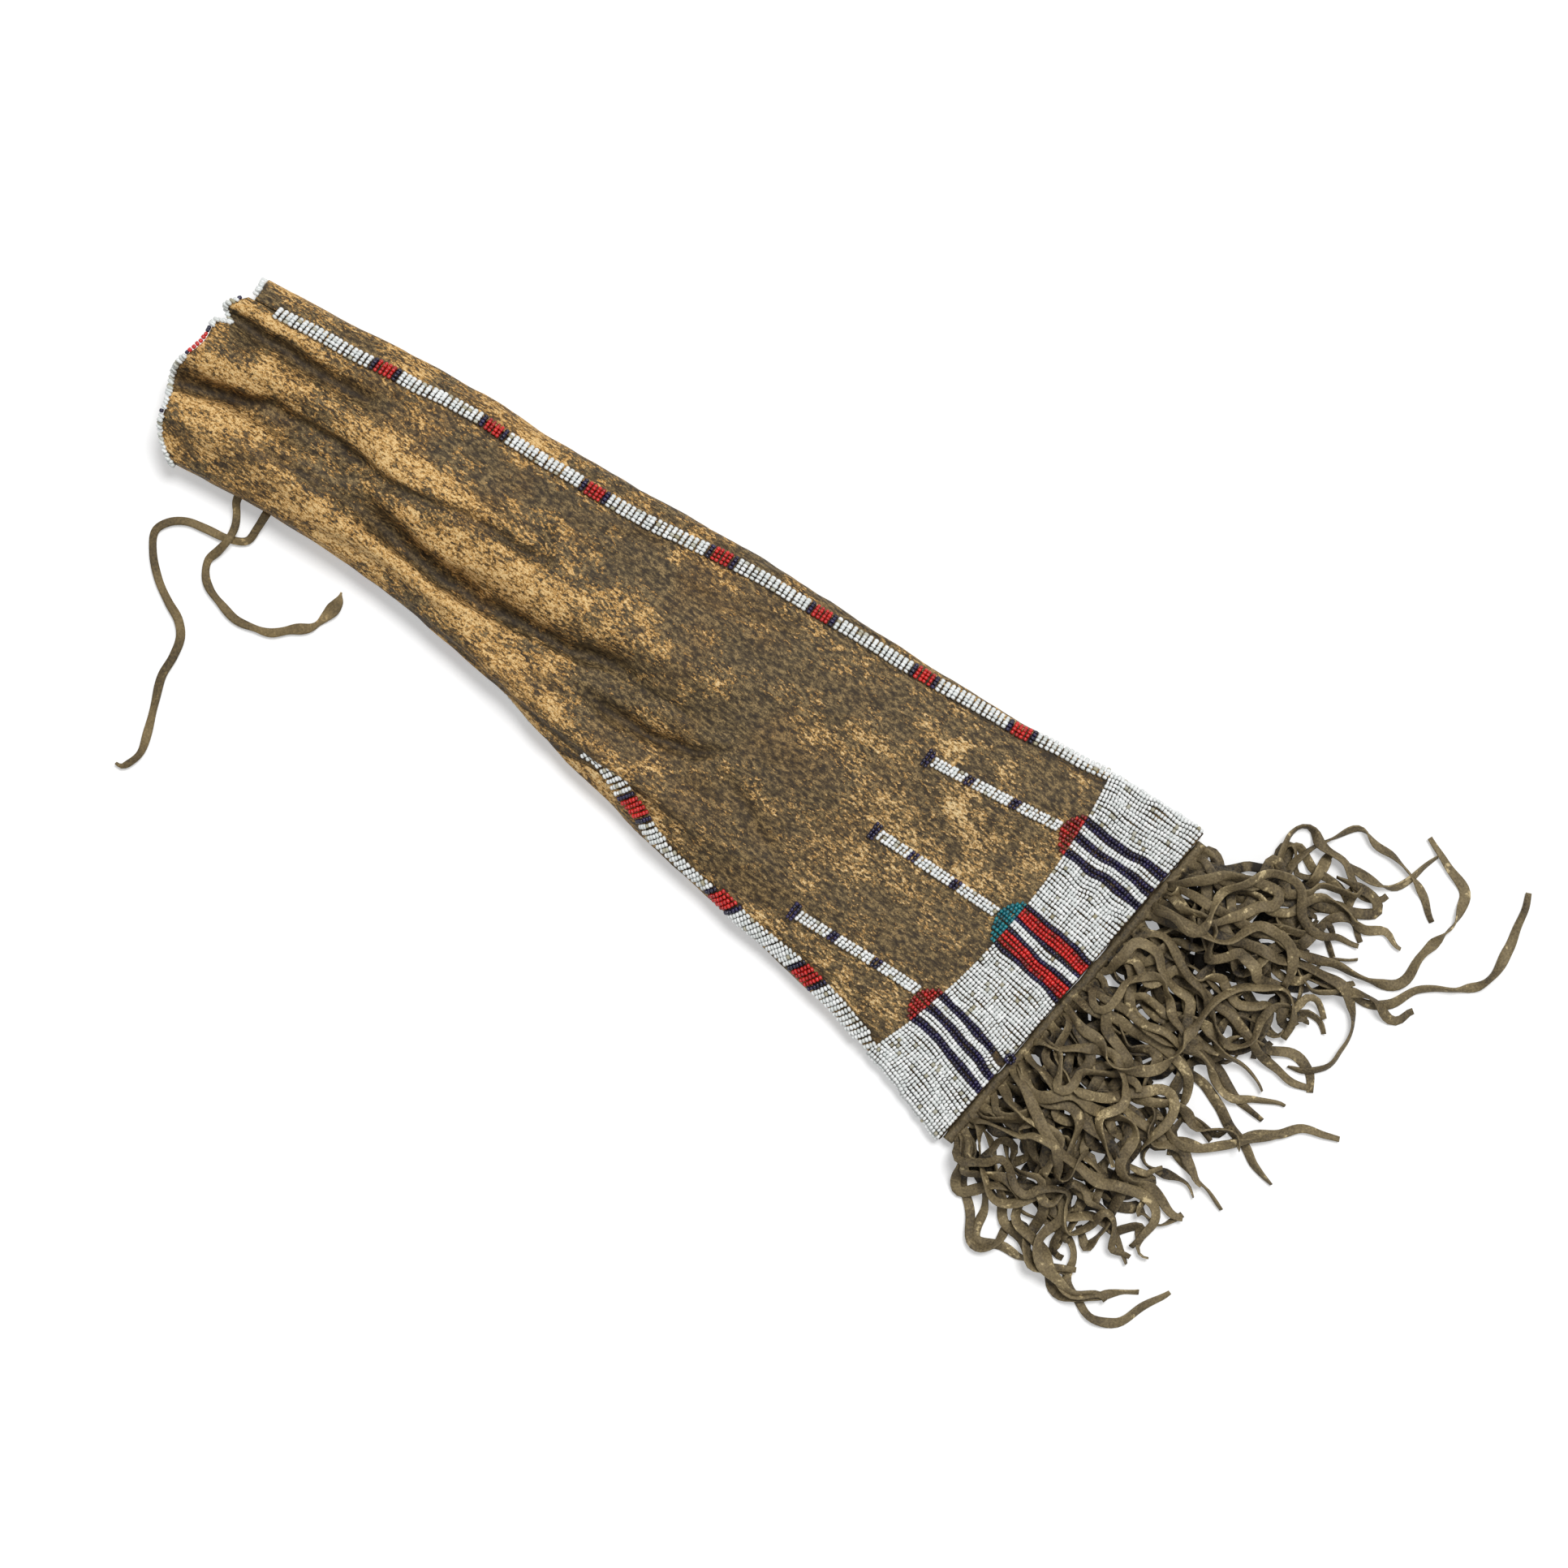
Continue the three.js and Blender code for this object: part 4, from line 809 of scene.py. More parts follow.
def make_light():
    lamp = bpy.data.lights.new("key_light", "SUN")
    lamp.energy = SUN_STRENGTH
    lamp.angle = SUN_SPREAD
    add_object("key_light", lamp).rotation_euler = (SUN_TILT, 0, SUN_TURN)
    world = bpy.data.worlds.new("studio")
    bpy.context.scene.world = world
    world.use_nodes = True
    tree = world.node_tree
    sky = tree.nodes["Background"]
    sky.inputs["Color"].default_value = (1, 1, 1, 1)
    level = tree.nodes.new("ShaderNodeMapRange")
    level.inputs["To Min"].default_value = SKY_LEVEL
    level.inputs["To Max"].default_value = 1.0
    tree.links.new(seen_directly(tree), level.inputs["Value"])
    tree.links.new(level.outputs["Result"], sky.inputs["Strength"])


def make_floor():
    mesh = bpy.data.meshes.new("floor")
    corners = [(FLOOR_HALF * u, FLOOR_HALF * v, 0) for u, v in ((-1, -1), (1, -1), (1, 1), (-1, 1))]
    mesh.from_pydata(corners, [], [(0, 1, 2, 3)])
    add_object("floor", mesh)
    paper = Nodes("floor_paper")
    paper.shader.inputs["Base Color"].default_value = (FLOOR_GREY, FLOOR_GREY, FLOOR_GREY, 1)
    paper.gloss(1.0, 0.0)
    paper.shader.inputs["Emission Color"].default_value = (1, 1, 1, 1)
    lifted = paper.math("MULTIPLY", seen_directly(paper.tree), FLOOR_LIFT_TO_WHITE)
    paper.put(paper.shader.inputs["Emission Strength"], lifted)
    mesh.materials.append(paper.material)


bpy.context.scene.view_settings.view_transform = "Standard"
make_camera()
make_light()
make_floor()

# Ties: the routes of the two thongs
TIE_LONG = [
    (-182.5, -52, 8.4), (-182.4, -55.5, 6.4), (-182.3, -60.5, 3.4), (-182.6, -68.3, 1.9),
    (-190.5, -73, 1.9), (-201.4, -75.6, 1.9), (-210.7, -78.4, 1.9), (-217.1, -83.8, 1.9),
    (-219.6, -90.6, 1.9), (-214.5, -99.1, 1.9), (-204.3, -108, 1.9), (-194.4, -113.4, 1.9),
    (-185.7, -117.2, 1.9), (-180, -122.9, 1.9), (-177.1, -132.2, 1.9), (-175.8, -142.7, 1.9),
    (-170.4, -155.3, 1.9), (-165.4, -166.8, 1.9), (-161.9, -177, 1.9), (-162.7, -182.9, 1.9),
    (-165.2, -187.7, 1.9), (-168.2, -188.1, 1.9),
]
TIE_SHORT = [
    (-198, -53.6, 8.4), (-197, -57, 6.6), (-194, -61, 4.6), (-191, -66, 4.8),
    (-189.5, -72.3, 6.4), (-190.3, -80, 3.4), (-191.5, -86.7, 1.9), (-188, -93.1, 1.9),
    (-182.8, -96.8, 1.9), (-174.2, -99.2, 1.9), (-164.3, -100.8, 1.9), (-155.4, -98.7, 1.9),
    (-147.7, -95.7, 1.9), (-140.5, -88.2, 1.9), (-133.9, -81.8, 1.9), (-131.7, -72.9, 1.9),
    (-131.4, -65, 1.9), (-133, -60.5, 1.9),
]
TIE_STEPS = 120
TIE_FLATNESS = 0.72
RIBBON_SIDES = 10
RIBBON_SQUARENESS = 0.36
SHORT_TIE_LEAF = 3.2
LEAF_THINNING = 0.35
TIE_WIDTH = 1.12 * TIE_DIAMETER
TIE_WIDTH_WAVE = (0.16, 1 / 16, 1, 5)
TIE_TWIST_WAVE = (0.4, 1 / 9, 1, 6)
TIE_WEAR = 0.5
TIE_WEAR_WAVE = (0.26, 1 / 17, 1, 8)
TIE_TIP_FROM = 0.965
TIE_TIP_SHARE = 0.25
# Leaf-shaped swellings, as shares of the length where they lie, that they reach and of the leaf width
LEAVES = ((0.925, 0.04, 1.0), (0.785, 0.045, 0.65), (0.855, 0.02, -0.4))


def rounded(turn, power):
    """Cosine and sine of a turn, drawn out towards a square."""
    c = np.cos(turn)
    s = np.sin(turn)
    return np.sign(c) * np.abs(c) ** power, np.sign(s) * np.abs(s) ** power


def ribbon_rings(path, widths, thicknesses, twists, cups):
    """Rings of a flat ribbon with rounded edges along a path, turned about its own length."""
    tangent = unit(np.gradient(path, axis=0))
    level = unit(np.cross([0, 0, 1], tangent))
    level_up = np.cross(tangent, level)
    side = level * np.cos(twists)[:, None] + level_up * np.sin(twists)[:, None]
    up = level_up * np.cos(twists)[:, None] - level * np.sin(twists)[:, None]
    u, v = rounded(np.arange(RIBBON_SIDES) * TURN / RIBBON_SIDES, RIBBON_SQUARENESS)
    sideways = u[None, :] * widths[:, None] / 2
    upward = v[None, :] * thicknesses[:, None] / 2 + cups[:, None] * u[None, :] ** 2
    return path[:, None, :] + side[:, None, :] * sideways[..., None] + up[:, None, :] * upward[..., None]


def make_tie(name, route, node, leaf_width):
    """A tie thong, with two leaf-shaped swellings near its end where it has them."""
    path = smooth_path(route, TIE_STEPS)
    share = np.linspace(0, 1, TIE_STEPS)
    own = np.full(TIE_STEPS, float(len(route)))
    leaf = np.zeros(TIE_STEPS)
    for place, reach, part in LEAVES:
        leaf = leaf + leaf_width * part * np.exp(-(((share - place) / reach) ** 2))
    widths = TIE_WIDTH * (1 + ripple(share, own, TIE_WIDTH_WAVE)) + leaf
    widths = widths * lerp(1, TIE_TIP_SHARE, smoothstep(share, TIE_TIP_FROM, 1))
    thicknesses = TIE_FLATNESS * TIE_DIAMETER - LEAF_THINNING * leaf
    twists = ripple(share, own, TIE_TWIST_WAVE)
    rings = ribbon_rings(path, widths, thicknesses, twists, 0 * share)
    quads, start, end = tube_faces(TIE_STEPS, RIBBON_SIDES)
    faces = quads.tolist() + [start.tolist(), end.tolist()]
    wear_and_shading = np.repeat(TIE_WEAR + ripple(share, own, TIE_WEAR_WAVE), RIBBON_SIDES)
    piece = make_piece(name, rings.reshape(-1, 3), faces, TIE, {"wear_and_shading": wear_and_shading}, [node])


make_tie("long_tie", TIE_LONG, "tie_thong_long", 0.0)
make_tie("short_tie", TIE_SHORT, "tie_thong_short", SHORT_TIE_LEAF)


# Edges of the bead band along the bag
def band_top(across):
    return BAND_TOP_X + BAND_END_SKEW * across * BAND_TOP_WIDTH / 2 - BAND_EDGE_SWEEP * across**2


def band_bottom(across):
    return BODY_LENGTH / 2 + BOTTOM_SKEW * across * BOTTOM_WIDTH / 2 - BAND_MARGIN


# Hide: how worn it is, from 0 to 1, with waves of noise and more wear on the neck; on the crests it is
# lighter and in the valleys darker, partly wear and partly painted highlight and shade
WEAR_LEVEL = 0.32
WEAR_WAVES = ((0.14, 46, 27, 11), (0.2, 17, 9, 12), (0.13, 6, 5, 13))
WEAR_AND_SHADING_RANGE = (0.02, 0.7)
NECK_WEAR = 0.16
NECK_WEAR_FADE = (0.3, 0.55)
# Lighter on crests and fold ridges, darker in valleys: partly wear, partly painted highlight and shade
CREST_WEAR_AND_HIGHLIGHT = 0.09
VALLEY_WEAR_AND_SHADE = 0.07
FOLD_WEAR_AND_SHADING = 0.02
# Patches that are darker or paler than the rest, as (x, y, reach along, reach across, change)
PATCHES = [
    (-16, 37, 40, 14, -0.3), (54, 45, 30, 14, -0.22), (185, 72, 22, 9, -0.34), (185, -30, 24, 14, -0.26),
    (-228, -46, 24, 8, -0.12), (60, 0, 40, 16, -0.2), (-112, 30, 40, 7, -0.25), (-60, -10, 34, 10, 0.12),
    (-90, -2, 22, 6, 0.16), (-215, 4, 26, 7, 0.14), (-30, -40, 40, 7, 0.08), (-70, -46, 16, 6, 0.16),
    (160, 32, 26, 16, 0.16), (140, 57, 12, 7, 0.16), (180, 12, 9, 12, 0.22), (157, 32, 6, 4, 0.5),
    (140, 60, 5, 3, 0.4), (100, 36, 26, 16, 0.1), (20, -22, 30, 10, 0.14), (110, -40, 50, 18, -0.1),
    (-4, -40, 40, 12, 0.14),
]
WARMTH_MOST = 0.6
WARMTH_FADE = (0.3, 0.95)
LIP_WEAR = 0.34
LIP_WEAR_BELOW = (1.2, 2.6)
LIP_WORN_FROM = (-125, -105)
LIP_WORN_TO = (20, 40)
# Painted shade in the creases, painted shadow of the lip, and painted shade under the bead band and the
# bead strips
CREASE_SHADE = 0.62
CREASE_SHADE_DEPTH = (1.0, 4.2)
LIP_SHADOW = 0.6
LIP_SHADOW_IN = (-2.4, -0.8)
LIP_SHADOW_OUT = (-0.8, 0.4)
LIP_SHADOW_PROBE = 3
LIP_SHADOW_LEAST = 0.5
BEAD_SHADE = 0.75
BAND_SHADE_EDGE = 1.5
STRIP_SHADE = (3.6, 5.2)
UPPER_STRIP_START = -234.0
LOWER_STRIP_START = -142.8


def seam_painted_shade(points, x):
    """Painted shade on the hide under the bead strips, near the seams at both edges of a panel."""
    painted_shade = np.zeros(x.shape)
    for edge, start in ((0, UPPER_STRIP_START), (-1, LOWER_STRIP_START)):
        distance = np.linalg.norm(points - points[:, [edge]], axis=-1)
        painted_shade = np.maximum(painted_shade, (1 - smoothstep(distance, *STRIP_SHADE)) * (x > start))
    return painted_shade


def hide_attributes(points, x, angle, side):
    """How far worn the hide is (with painted highlight on crests and painted shade in valleys), how warm in
    colour, and how much painted shade darkens it, at its points.
    """
    y = points[..., 1]
    share = share_of(x)
    over = is_over(angle)
    inward = lip_inward(x, y)
    crease = np.where(over, crease_rise(x, y), 0)
    fold = np.where(over, fold_rise(x, y), 0)
    wear_and_shading = WEAR_LEVEL + sum(ripple(x, y, wave) for wave in WEAR_WAVES)
    wear_and_shading = wear_and_shading + NECK_WEAR * (1 - smoothstep(share, *NECK_WEAR_FADE)) + FOLD_WEAR_AND_SHADING * fold
    # Crests lighter, valleys darker: partly wear, partly painted highlight and shade
    wear_and_shading = wear_and_shading + CREST_WEAR_AND_HIGHLIGHT * np.maximum(crease, 0) + VALLEY_WEAR_AND_SHADE * np.minimum(crease, 0)
    beside_lip = smoothstep(x, *LIP_WORN_FROM) * (1 - smoothstep(x, *LIP_WORN_TO))
    wear_and_shading = wear_and_shading + LIP_WEAR * beside_lip * smoothstep(-inward, *LIP_WEAR_BELOW)
    for patch_x, patch_y, along, across, change in PATCHES:
        wear_and_shading = wear_and_shading + change * np.exp(-(((x - patch_x) / along) ** 2 + ((y - patch_y) / across) ** 2))
    warmth = WARMTH_MOST * (1 - smoothstep(share, *WARMTH_FADE))
    # Painted shade in the crease valleys, and painted shadow under the lip
    painted_shade = CREASE_SHADE * smoothstep(-crease, *CREASE_SHADE_DEPTH)
    shadowed = smoothstep(inward, *LIP_SHADOW_IN) * (1 - smoothstep(inward, *LIP_SHADOW_OUT))
    under_lip = over & (lip_rise(x, y + LIP_SHADOW_PROBE) > LIP_SHADOW_LEAST)
    painted_shade = np.maximum(painted_shade, LIP_SHADOW * shadowed * under_lip)
    # Painted shade under the bead band and, on the front panel, under the bead strips
    top = band_top(np.cos(angle))
    painted_shade = np.maximum(painted_shade, BEAD_SHADE * smoothstep(x, top, top + BAND_SHADE_EDGE))
    if side == "front":
        painted_shade = np.maximum(painted_shade, BEAD_SHADE * seam_painted_shade(points, x))
    return np.clip(wear_and_shading, *WEAR_AND_SHADING_RANGE), warmth, painted_shade


FRONT_GRID = (310, 137)
BACK_GRID = (220, 65)


def make_hide(name, side, grid, node):
    rows, columns = grid
    along = np.linspace(0, 1, rows)[:, None]
    column = np.linspace(0, 1, columns)[None, :]
    x, angle = panel_places(side, along, column)
    points, normal = on_hide(x, angle)
    inner = points - normal * HIDE_THICKNESS
    both = np.concatenate([points.reshape(-1, 3), inner.reshape(-1, 3)])
    values = hide_attributes(points, x, angle, side)
    attributes = {key: np.tile(value.ravel(), 2) for key, value in zip(("wear_and_shading", "warmth", "painted_shade"), values)}
    faces = slab_faces(rows, columns)
    if side == "front":
        faces = faces[:, ::-1]
    return make_piece(name, both, faces.tolist(), HIDE, attributes, [node])


front_hide = make_hide("front_hide", "front", FRONT_GRID, "front_panel")
back_hide = make_hide("back_hide", "back", BACK_GRID, "back_panel")

# Beads: short rounded tubes, gathered by piece before each piece is made
BEAD_SIDES = 8
BEAD_RINGS = ((-0.5, 0.62), (-0.3, 0.97), (0.3, 0.97), (0.5, 0.62))
BEAD_SEED = 5
BEAD_TILT = 0.1
BEAD_UNEVENNESS = 0.08
BEAD_TONE_LEAST = 0.35
DULL_SHARE = 0.05
bead_draw = np.random.default_rng(BEAD_SEED)
bead_sets = {}


def bead_template():
    """Points of a bead as shares of its length, half width and half height, and its quads."""
    turn = TURN * middles(BEAD_SIDES)
    round_ring = np.stack([0 * turn, np.cos(turn), np.sin(turn)], 1)
    points = np.concatenate([round_ring * reach + (along, 0, 0) for along, reach in BEAD_RINGS])
    quads, start, end = tube_faces(len(BEAD_RINGS), BEAD_SIDES)
    corners = np.array([(0, 1, 2, 3), (0, 3, 4, 7), (4, 5, 6, 7)])
    return points, np.concatenate([quads, start[corners], end[corners]])


def add_beads(group, colour, centres, axes, ups, length, width, tone_shift=0.0):
    """Adds beads of one colour to a group; each is turned, sized and toned a little differently."""
    count = len(centres)
    axes = unit(axes + BEAD_TILT * bead_draw.standard_normal((count, 3)))
    lengths = length * (1 + BEAD_UNEVENNESS * bead_draw.standard_normal(count))
    widths = width * (1 + BEAD_UNEVENNESS * bead_draw.standard_normal(count))
    tones = lerp(BEAD_TONE_LEAST, 1, bead_draw.random(count)) + tone_shift
    if colour == "white":
        tones = np.where(bead_draw.random(count) < DULL_SHARE, DULL_SHARE * bead_draw.random(count), tones)
    bead_sets.setdefault((group, colour), []).append((centres, axes, ups, lengths, widths, clamp01(tones)))


def make_beads(group, colour, nodes=()):
    parts = zip(*bead_sets[group, colour])
    centres, axes, ups, lengths, widths, tones = (np.concatenate(part) for part in parts)
    sides = unit(np.cross(ups, axes))
    ups = np.cross(axes, sides)
    shape, quads = bead_template()
    sizes = np.stack([lengths, widths / 2, np.full(len(lengths), BEAD_RADIUS)], 1)
    frames = np.stack([axes, sides, ups], 1) * sizes[..., None]
    points = centres[:, None, :] + shape @ frames
    faces = (quads[None] + (np.arange(len(centres)) * len(shape))[:, None, None]).reshape(-1, 4)
    attributes = {"tone": np.repeat(tones, len(shape))}
    slot = f"{colour}_beads"
    name = f"{group}_{slot}"
    make_piece(name, points.reshape(-1, 3), faces.tolist(), BEADS[colour], attributes, nodes)


# Bead band: strings along the bag, counted from the upper end to the lower end
STRIPES = [
    ("white", 11),
    ("navy", 2), ("white", 2), ("navy", 2), ("white", 2), ("navy", 2),
    ("white", 14),
    ("navy", 1), ("red", 3), ("navy", 1), ("white", 2), ("navy", 1), ("red", 3), ("navy", 1),
    ("white", 16),
    ("navy", 2), ("white", 2), ("navy", 2), ("white", 2), ("navy", 2),
    ("white", 12),
]
STRING_COLOURS = [colour for colour, strings in STRIPES for _ in range(strings)]
STRING_COUNT = len(STRING_COLOURS)
# Stripe groups: first string, string after the last, cap colour, where the bead line starts across and the
# string that it ends at
GROUPS = [(11, 21, "red", 0.52, 16), (35, 47, "teal", -0.02, 41), (63, 73, "red", -0.7, 67)]
# Two strings that have lost their last beads, and a small loose ring of beads there as (x, y, radius)
LOST_STRINGS = (63, 64)
LOST_FROM = 239.0
LOOSE_RING = (247.3, -43.1, 2.0)
RING_BEADS = 8
RING_BEAD_LENGTH = 1.5
RING_BEAD_WIDTH = 1.7
# Noise that moves lanes and strings sideways: its start along a lane, rate and start across, and seed
LANE_NOISE = (0.3, 7, 20, 31)
STRING_NOISE = (0.0, 30, 50, 32)
ACROSS_MOST = 0.999
# Every third red string is darker, and so are the strings of the caps by turns
DARK_RED_EVERY = 3
DARK_RED = -0.4
CAP_TONES = {"red": (-0.35, -0.6), "teal": (0.0, -0.3)}


def across_of_string(k):
    return BAND_HALF_SHARE * (1 - 2 * k / STRING_COUNT)


def lane_dip(u):
    """How far beads sink towards the threads that hold each lane down."""
    return LANE_DIP * (0.5 + 0.5 * np.cos(TURN * LANE_COUNT * u))


def sewn_shift(u, across, pattern):
    start, rate, first, seed = pattern
    return noise(u * LANE_COUNT + start, 0 * u + across * rate + first, seed)


def string_of_beads(group, colour, k, cap_height=None, tone_shift=0.0, past_edge=0.0, kept_to=np.inf):
    """One string of the band, or of the cap above it, each lane sewn a little to one side."""
    across = across_of_string(k + 0.5)
    top = band_top(across)
    bottom = band_bottom(across)
    start, end = (top, bottom) if cap_height is None else (top - cap_height, top)
    count = max(int(round((end - start) / BEAD_LENGTH)), 2)
    x = lerp(start, end, middles(count))
    x = x[x < kept_to]
    u = clamp01((x - top) / (bottom - top))
    half = width_at(share_of(x)) / 2
    shift = LANE_SHIFT * sewn_shift(u, across, LANE_NOISE)
    shift = shift + STRING_SHIFT * sewn_shift(u, across, STRING_NOISE)
    angle = np.arccos(np.clip(across + shift / half, -ACROSS_MOST, ACROSS_MOST))
    angle = walk(x, angle, past_edge)
    points, normals = on_hide(x, angle)
    seat = BEAD_SEAT + CLEARANCE / 2 - lane_dip(u) * (x > top)
    centres = points + normals * seat[:, None]
    spacing = 2 * BAND_HALF_SHARE / STRING_COUNT * half
    axes = unit(np.gradient(centres, axis=0))
    length = STRING_FILL * (end - start) / count
    add_beads(group, colour, centres, axes, normals, length, LANE_FILL * spacing, tone_shift)


for k, colour in enumerate(STRING_COLOURS):
    string_of_beads("band", colour, k,
                    tone_shift=DARK_RED if colour == "red" and k % DARK_RED_EVERY == 0 else 0.0,
                    kept_to=LOST_FROM if k in LOST_STRINGS else np.inf)
for k, way in ((0, -1), (STRING_COUNT - 1, 1)):
    for extra in range(1, EDGE_STRINGS + 1):
        string_of_beads("band", "white", k, past_edge=way * extra * EDGE_PITCH)
for first, after, cap_colour, *_ in GROUPS:
    for k, place in zip(range(first, after), middles(after - first)):
        height = lerp(CAP_HEIGHT, CAP_END_HEIGHT, (2 * place - 1) ** 2)
        string_of_beads("cap", cap_colour, k, height, CAP_TONES[cap_colour][k % 2])

ring = np.arange(RING_BEADS) * TURN / RING_BEADS
ring_x = LOOSE_RING[0] + LOOSE_RING[2] * np.cos(ring)
ring_y = LOOSE_RING[1] + LOOSE_RING[2] * np.sin(ring)
ring_across = (ring_y - middle_at(share_of(ring_x))) / (width_at(share_of(ring_x)) / 2)
ring_points, ring_normals = on_hide(ring_x, np.arccos(ring_across))
ring_axes = np.stack([-np.sin(ring), np.cos(ring), 0 * ring], 1)
add_beads("band", "navy", ring_points + 2 * BEAD_RADIUS * ring_normals, ring_axes, ring_normals,
          RING_BEAD_LENGTH, RING_BEAD_WIDTH)

# Bead lines up the hide, each row sewn across the line
LINE_ROWS = (("white", 8), ("navy", 2), ("white", 9), ("navy", 2), ("white", 10))
LINE_COLOURS = [colour for colour, rows in LINE_ROWS for _ in range(rows)]
LINE_PITCH = LINE_LENGTH / len(LINE_COLOURS)
ROW_UNEVENNESS = 0.14
LINE_SLANT = 0.12


def row_of_beads(colour, x, across, count, pitch, depth, slant):
    """A row of beads sewn across a line that runs along the bag."""
    offset = (np.arange(count) - (count - 1) / 2) * pitch
    row_x = x + slant * offset + ROW_UNEVENNESS * bead_draw.standard_normal(count)
    half = width_at(share_of(row_x)) / 2
    points, normals = on_hide(row_x, np.arccos(across + offset / half))
    centres = points + normals * (BEAD_SEAT + CLEARANCE / 2)
    axes = unit(np.gradient(centres, axis=0))
    add_beads("line", colour, centres, axes, normals, BEAD_FILL * pitch, BEAD_FILL * depth)


for *_, line_start, end_string in GROUPS:
    line_end = across_of_string(end_string)
    start = band_top(line_end) - CAP_HEIGHT - CLEARANCE - LINE_LENGTH
    for colour, share in zip(LINE_COLOURS, middles(len(LINE_COLOURS))):
        row_of_beads(colour, start + share * LINE_LENGTH, lerp(line_start, line_end, share), LINE_BEADS,
                     LINE_WIDTH / LINE_BEADS, LINE_PITCH, LINE_SLANT)
    for row in range(HEAD_ROWS):
        head_x = start - CLEARANCE - (row + 0.5) * HEAD_PITCH
        row_of_beads("navy", head_x, line_start, HEAD_BEADS, HEAD_BEAD_LENGTH, HEAD_PITCH, 0.0)

# Bead strips over the side seams: stitches of a few beads, with navy, red and navy marks along them
# Slant is how far the outer or lower end of a stitch lies along the bag from its other end
# Rows are (x, how wide the strip is there, how far towards the lower side it lies off the seam)
UPPER_STRIP = {
    "seam": UPPER_SEAM, "start": UPPER_STRIP_START, "beads": 4, "width": 6.7, "slant": 0.3,
    "pitch": 2.67, "red_pitch": 2.25, "marks": (-177.2, -120.9, -66, -1.0, 52, 107.3, 158.7),
    "rows": ((110, 6.7, 1.5), (160, 6.7, 0.6), (205, 6.7, -2.2)),
}
LOWER_STRIP = {
    "seam": LOWER_SEAM, "start": LOWER_STRIP_START, "beads": 6, "width": 8.8, "slant": -4.4,
    "pitch": 2.75, "red_pitch": 2.6, "marks": (-128, -73, -18, 37.6, 96, 148.5),
    "rows": (
        (-30, 5.3, -0.8), (-20, 8.8, -0.8), (40, 8.8, -1.0), (46, 8.8, -1.4), (70, 5.6, -2.4),
        (86, 5.6, -2.6), (94, 8.8, -2.4), (150, 8.8, -2.0), (168, 8.8, -1.2), (190, 7.2, 1.2),
        (204, 5.5, 3.0),
    ),
}
RED_STITCHES = 4
STRIP_TONE = -0.12
# Where the lower strip goes in under the lip of the front hide, and how far in it lies there
TUCKED_FROM = -25.0
TUCKED_TO = 4.0
TUCKED_IN = 8.0
TUCKED_FADE = 34.0
LIP_COVER = 2.0
# How far under the bag the lower strip lies before that
TUCKED_UNDER = 3.6


def stitch_places(strip, end):
    """Places, pitches and colours of a strip's stitches, with red ones between navy ones at each mark."""
    pitch = strip["pitch"]
    reds = [strip["red_pitch"]] * RED_STITCHES
    half = sum(reds) / 2 + pitch
    pitches = []
    colours = []
    edge = strip["start"]
    for stop in [mark - half for mark in strip["marks"]] + [end]:
        count = int(round((stop - edge) / pitch))
        pitches += [(stop - edge) / count] * count
        colours += ["white"] * count
        edge = stop
        if stop < end:
            pitches += [pitch, *reds, pitch]
            colours += ["navy"] + ["red"] * RED_STITCHES + ["navy"]
            edge = stop + 2 * half
    pitches = np.array(pitches)
    return strip["start"] + np.cumsum(pitches) - pitches / 2, pitches, np.array(colours)


def seam_strip(strip, tucked):
    """A strip along a seam; a tucked one's stitches go under the bag or are left out under the lip."""
    seam_end = np.interp(BAND_TOP_X, SEAM_X, strip["seam"])
    row_x, pitches, colours = stitch_places(strip, band_top(np.cos(seam_end)) - CLEARANCE)
    beads = strip["beads"]
    across = middles(beads) - 0.5
    places, place_widths, place_shifts = np.transpose(strip["rows"])
    wander = np.interp(row_x, places, place_shifts)
    wander = wander + ripple(row_x, 0 * row_x + strip["start"], STRIP_WANDER)
    widths = np.interp(row_x, places, place_widths)
    shown = np.abs(across) * strip["width"] < widths[:, None] / 2
    if tucked:
        under = row_x < TUCKED_FROM
        fade = 1 - smoothstep(row_x, TUCKED_TO, TUCKED_FADE)
        wander = wander + np.where(under, TUCKED_UNDER, -TUCKED_IN * fade)
        shown = shown & (under | (row_x > TUCKED_TO))[:, None]
    row_shift = ROW_UNEVENNESS * bead_draw.standard_normal((len(row_x), 1))
    x = row_x[:, None] + strip["slant"] * across + row_shift
    angle = walk(x, np.interp(x, SEAM_X, strip["seam"]), strip["width"] * across + wander[:, None])
    points, normals = on_hide(x, angle, with_lip=False)
    if tucked:
        shown = shown & (lip_inward(points[..., 0], points[..., 1]) < LIP_COVER)
    arch = STITCH_ARCH * (1 - (2 * across) ** 2)
    centres = points + normals * (BEAD_SEAT + arch)[:, None]
    axes = unit(np.gradient(centres, axis=1))
    bead_widths = STITCH_FILL * np.repeat(pitches[:, None], beads, axis=1)
    for colour in ("red", "navy", "white"):
        chosen = shown & (colours == colour)[:, None]
        add_beads("seam", colour, centres[chosen], axes[chosen], normals[chosen],
                  BEAD_FILL * strip["width"] / beads, bead_widths[chosen], STRIP_TONE)


seam_strip(UPPER_STRIP, tucked=False)
seam_strip(LOWER_STRIP, tucked=True)

# Bead edging along the two rims of the mouth: single beads that stand out from the cut edge
# Marks on the front rim, as (y, half width, colour), later ones over earlier ones
RIM_MARKS = ((-8.3, 8.8, "navy"), (-8.3, 5.6, "red"), (20.5, 1.4, "navy"), (-43.5, 1.4, "navy"))
RIM_STEPS = 600
RIM_ENDS = (0.02, 0.98)
RIM_PROBE = 0.01
EDGING_WIDTH = 1.75
EDGING_STAGGER = 0.3
# The white edging beads are toned down as painted shade
EDGING_SHADE = -0.27
MARK_WIDTH = 2.1
# How far the beads' middles stand above the rim's outer side, and how far they reach in over the hide
FRONT_EDGING = (0.8, 1.0)
BACK_EDGING = (-1.5, -CLEARANCE)


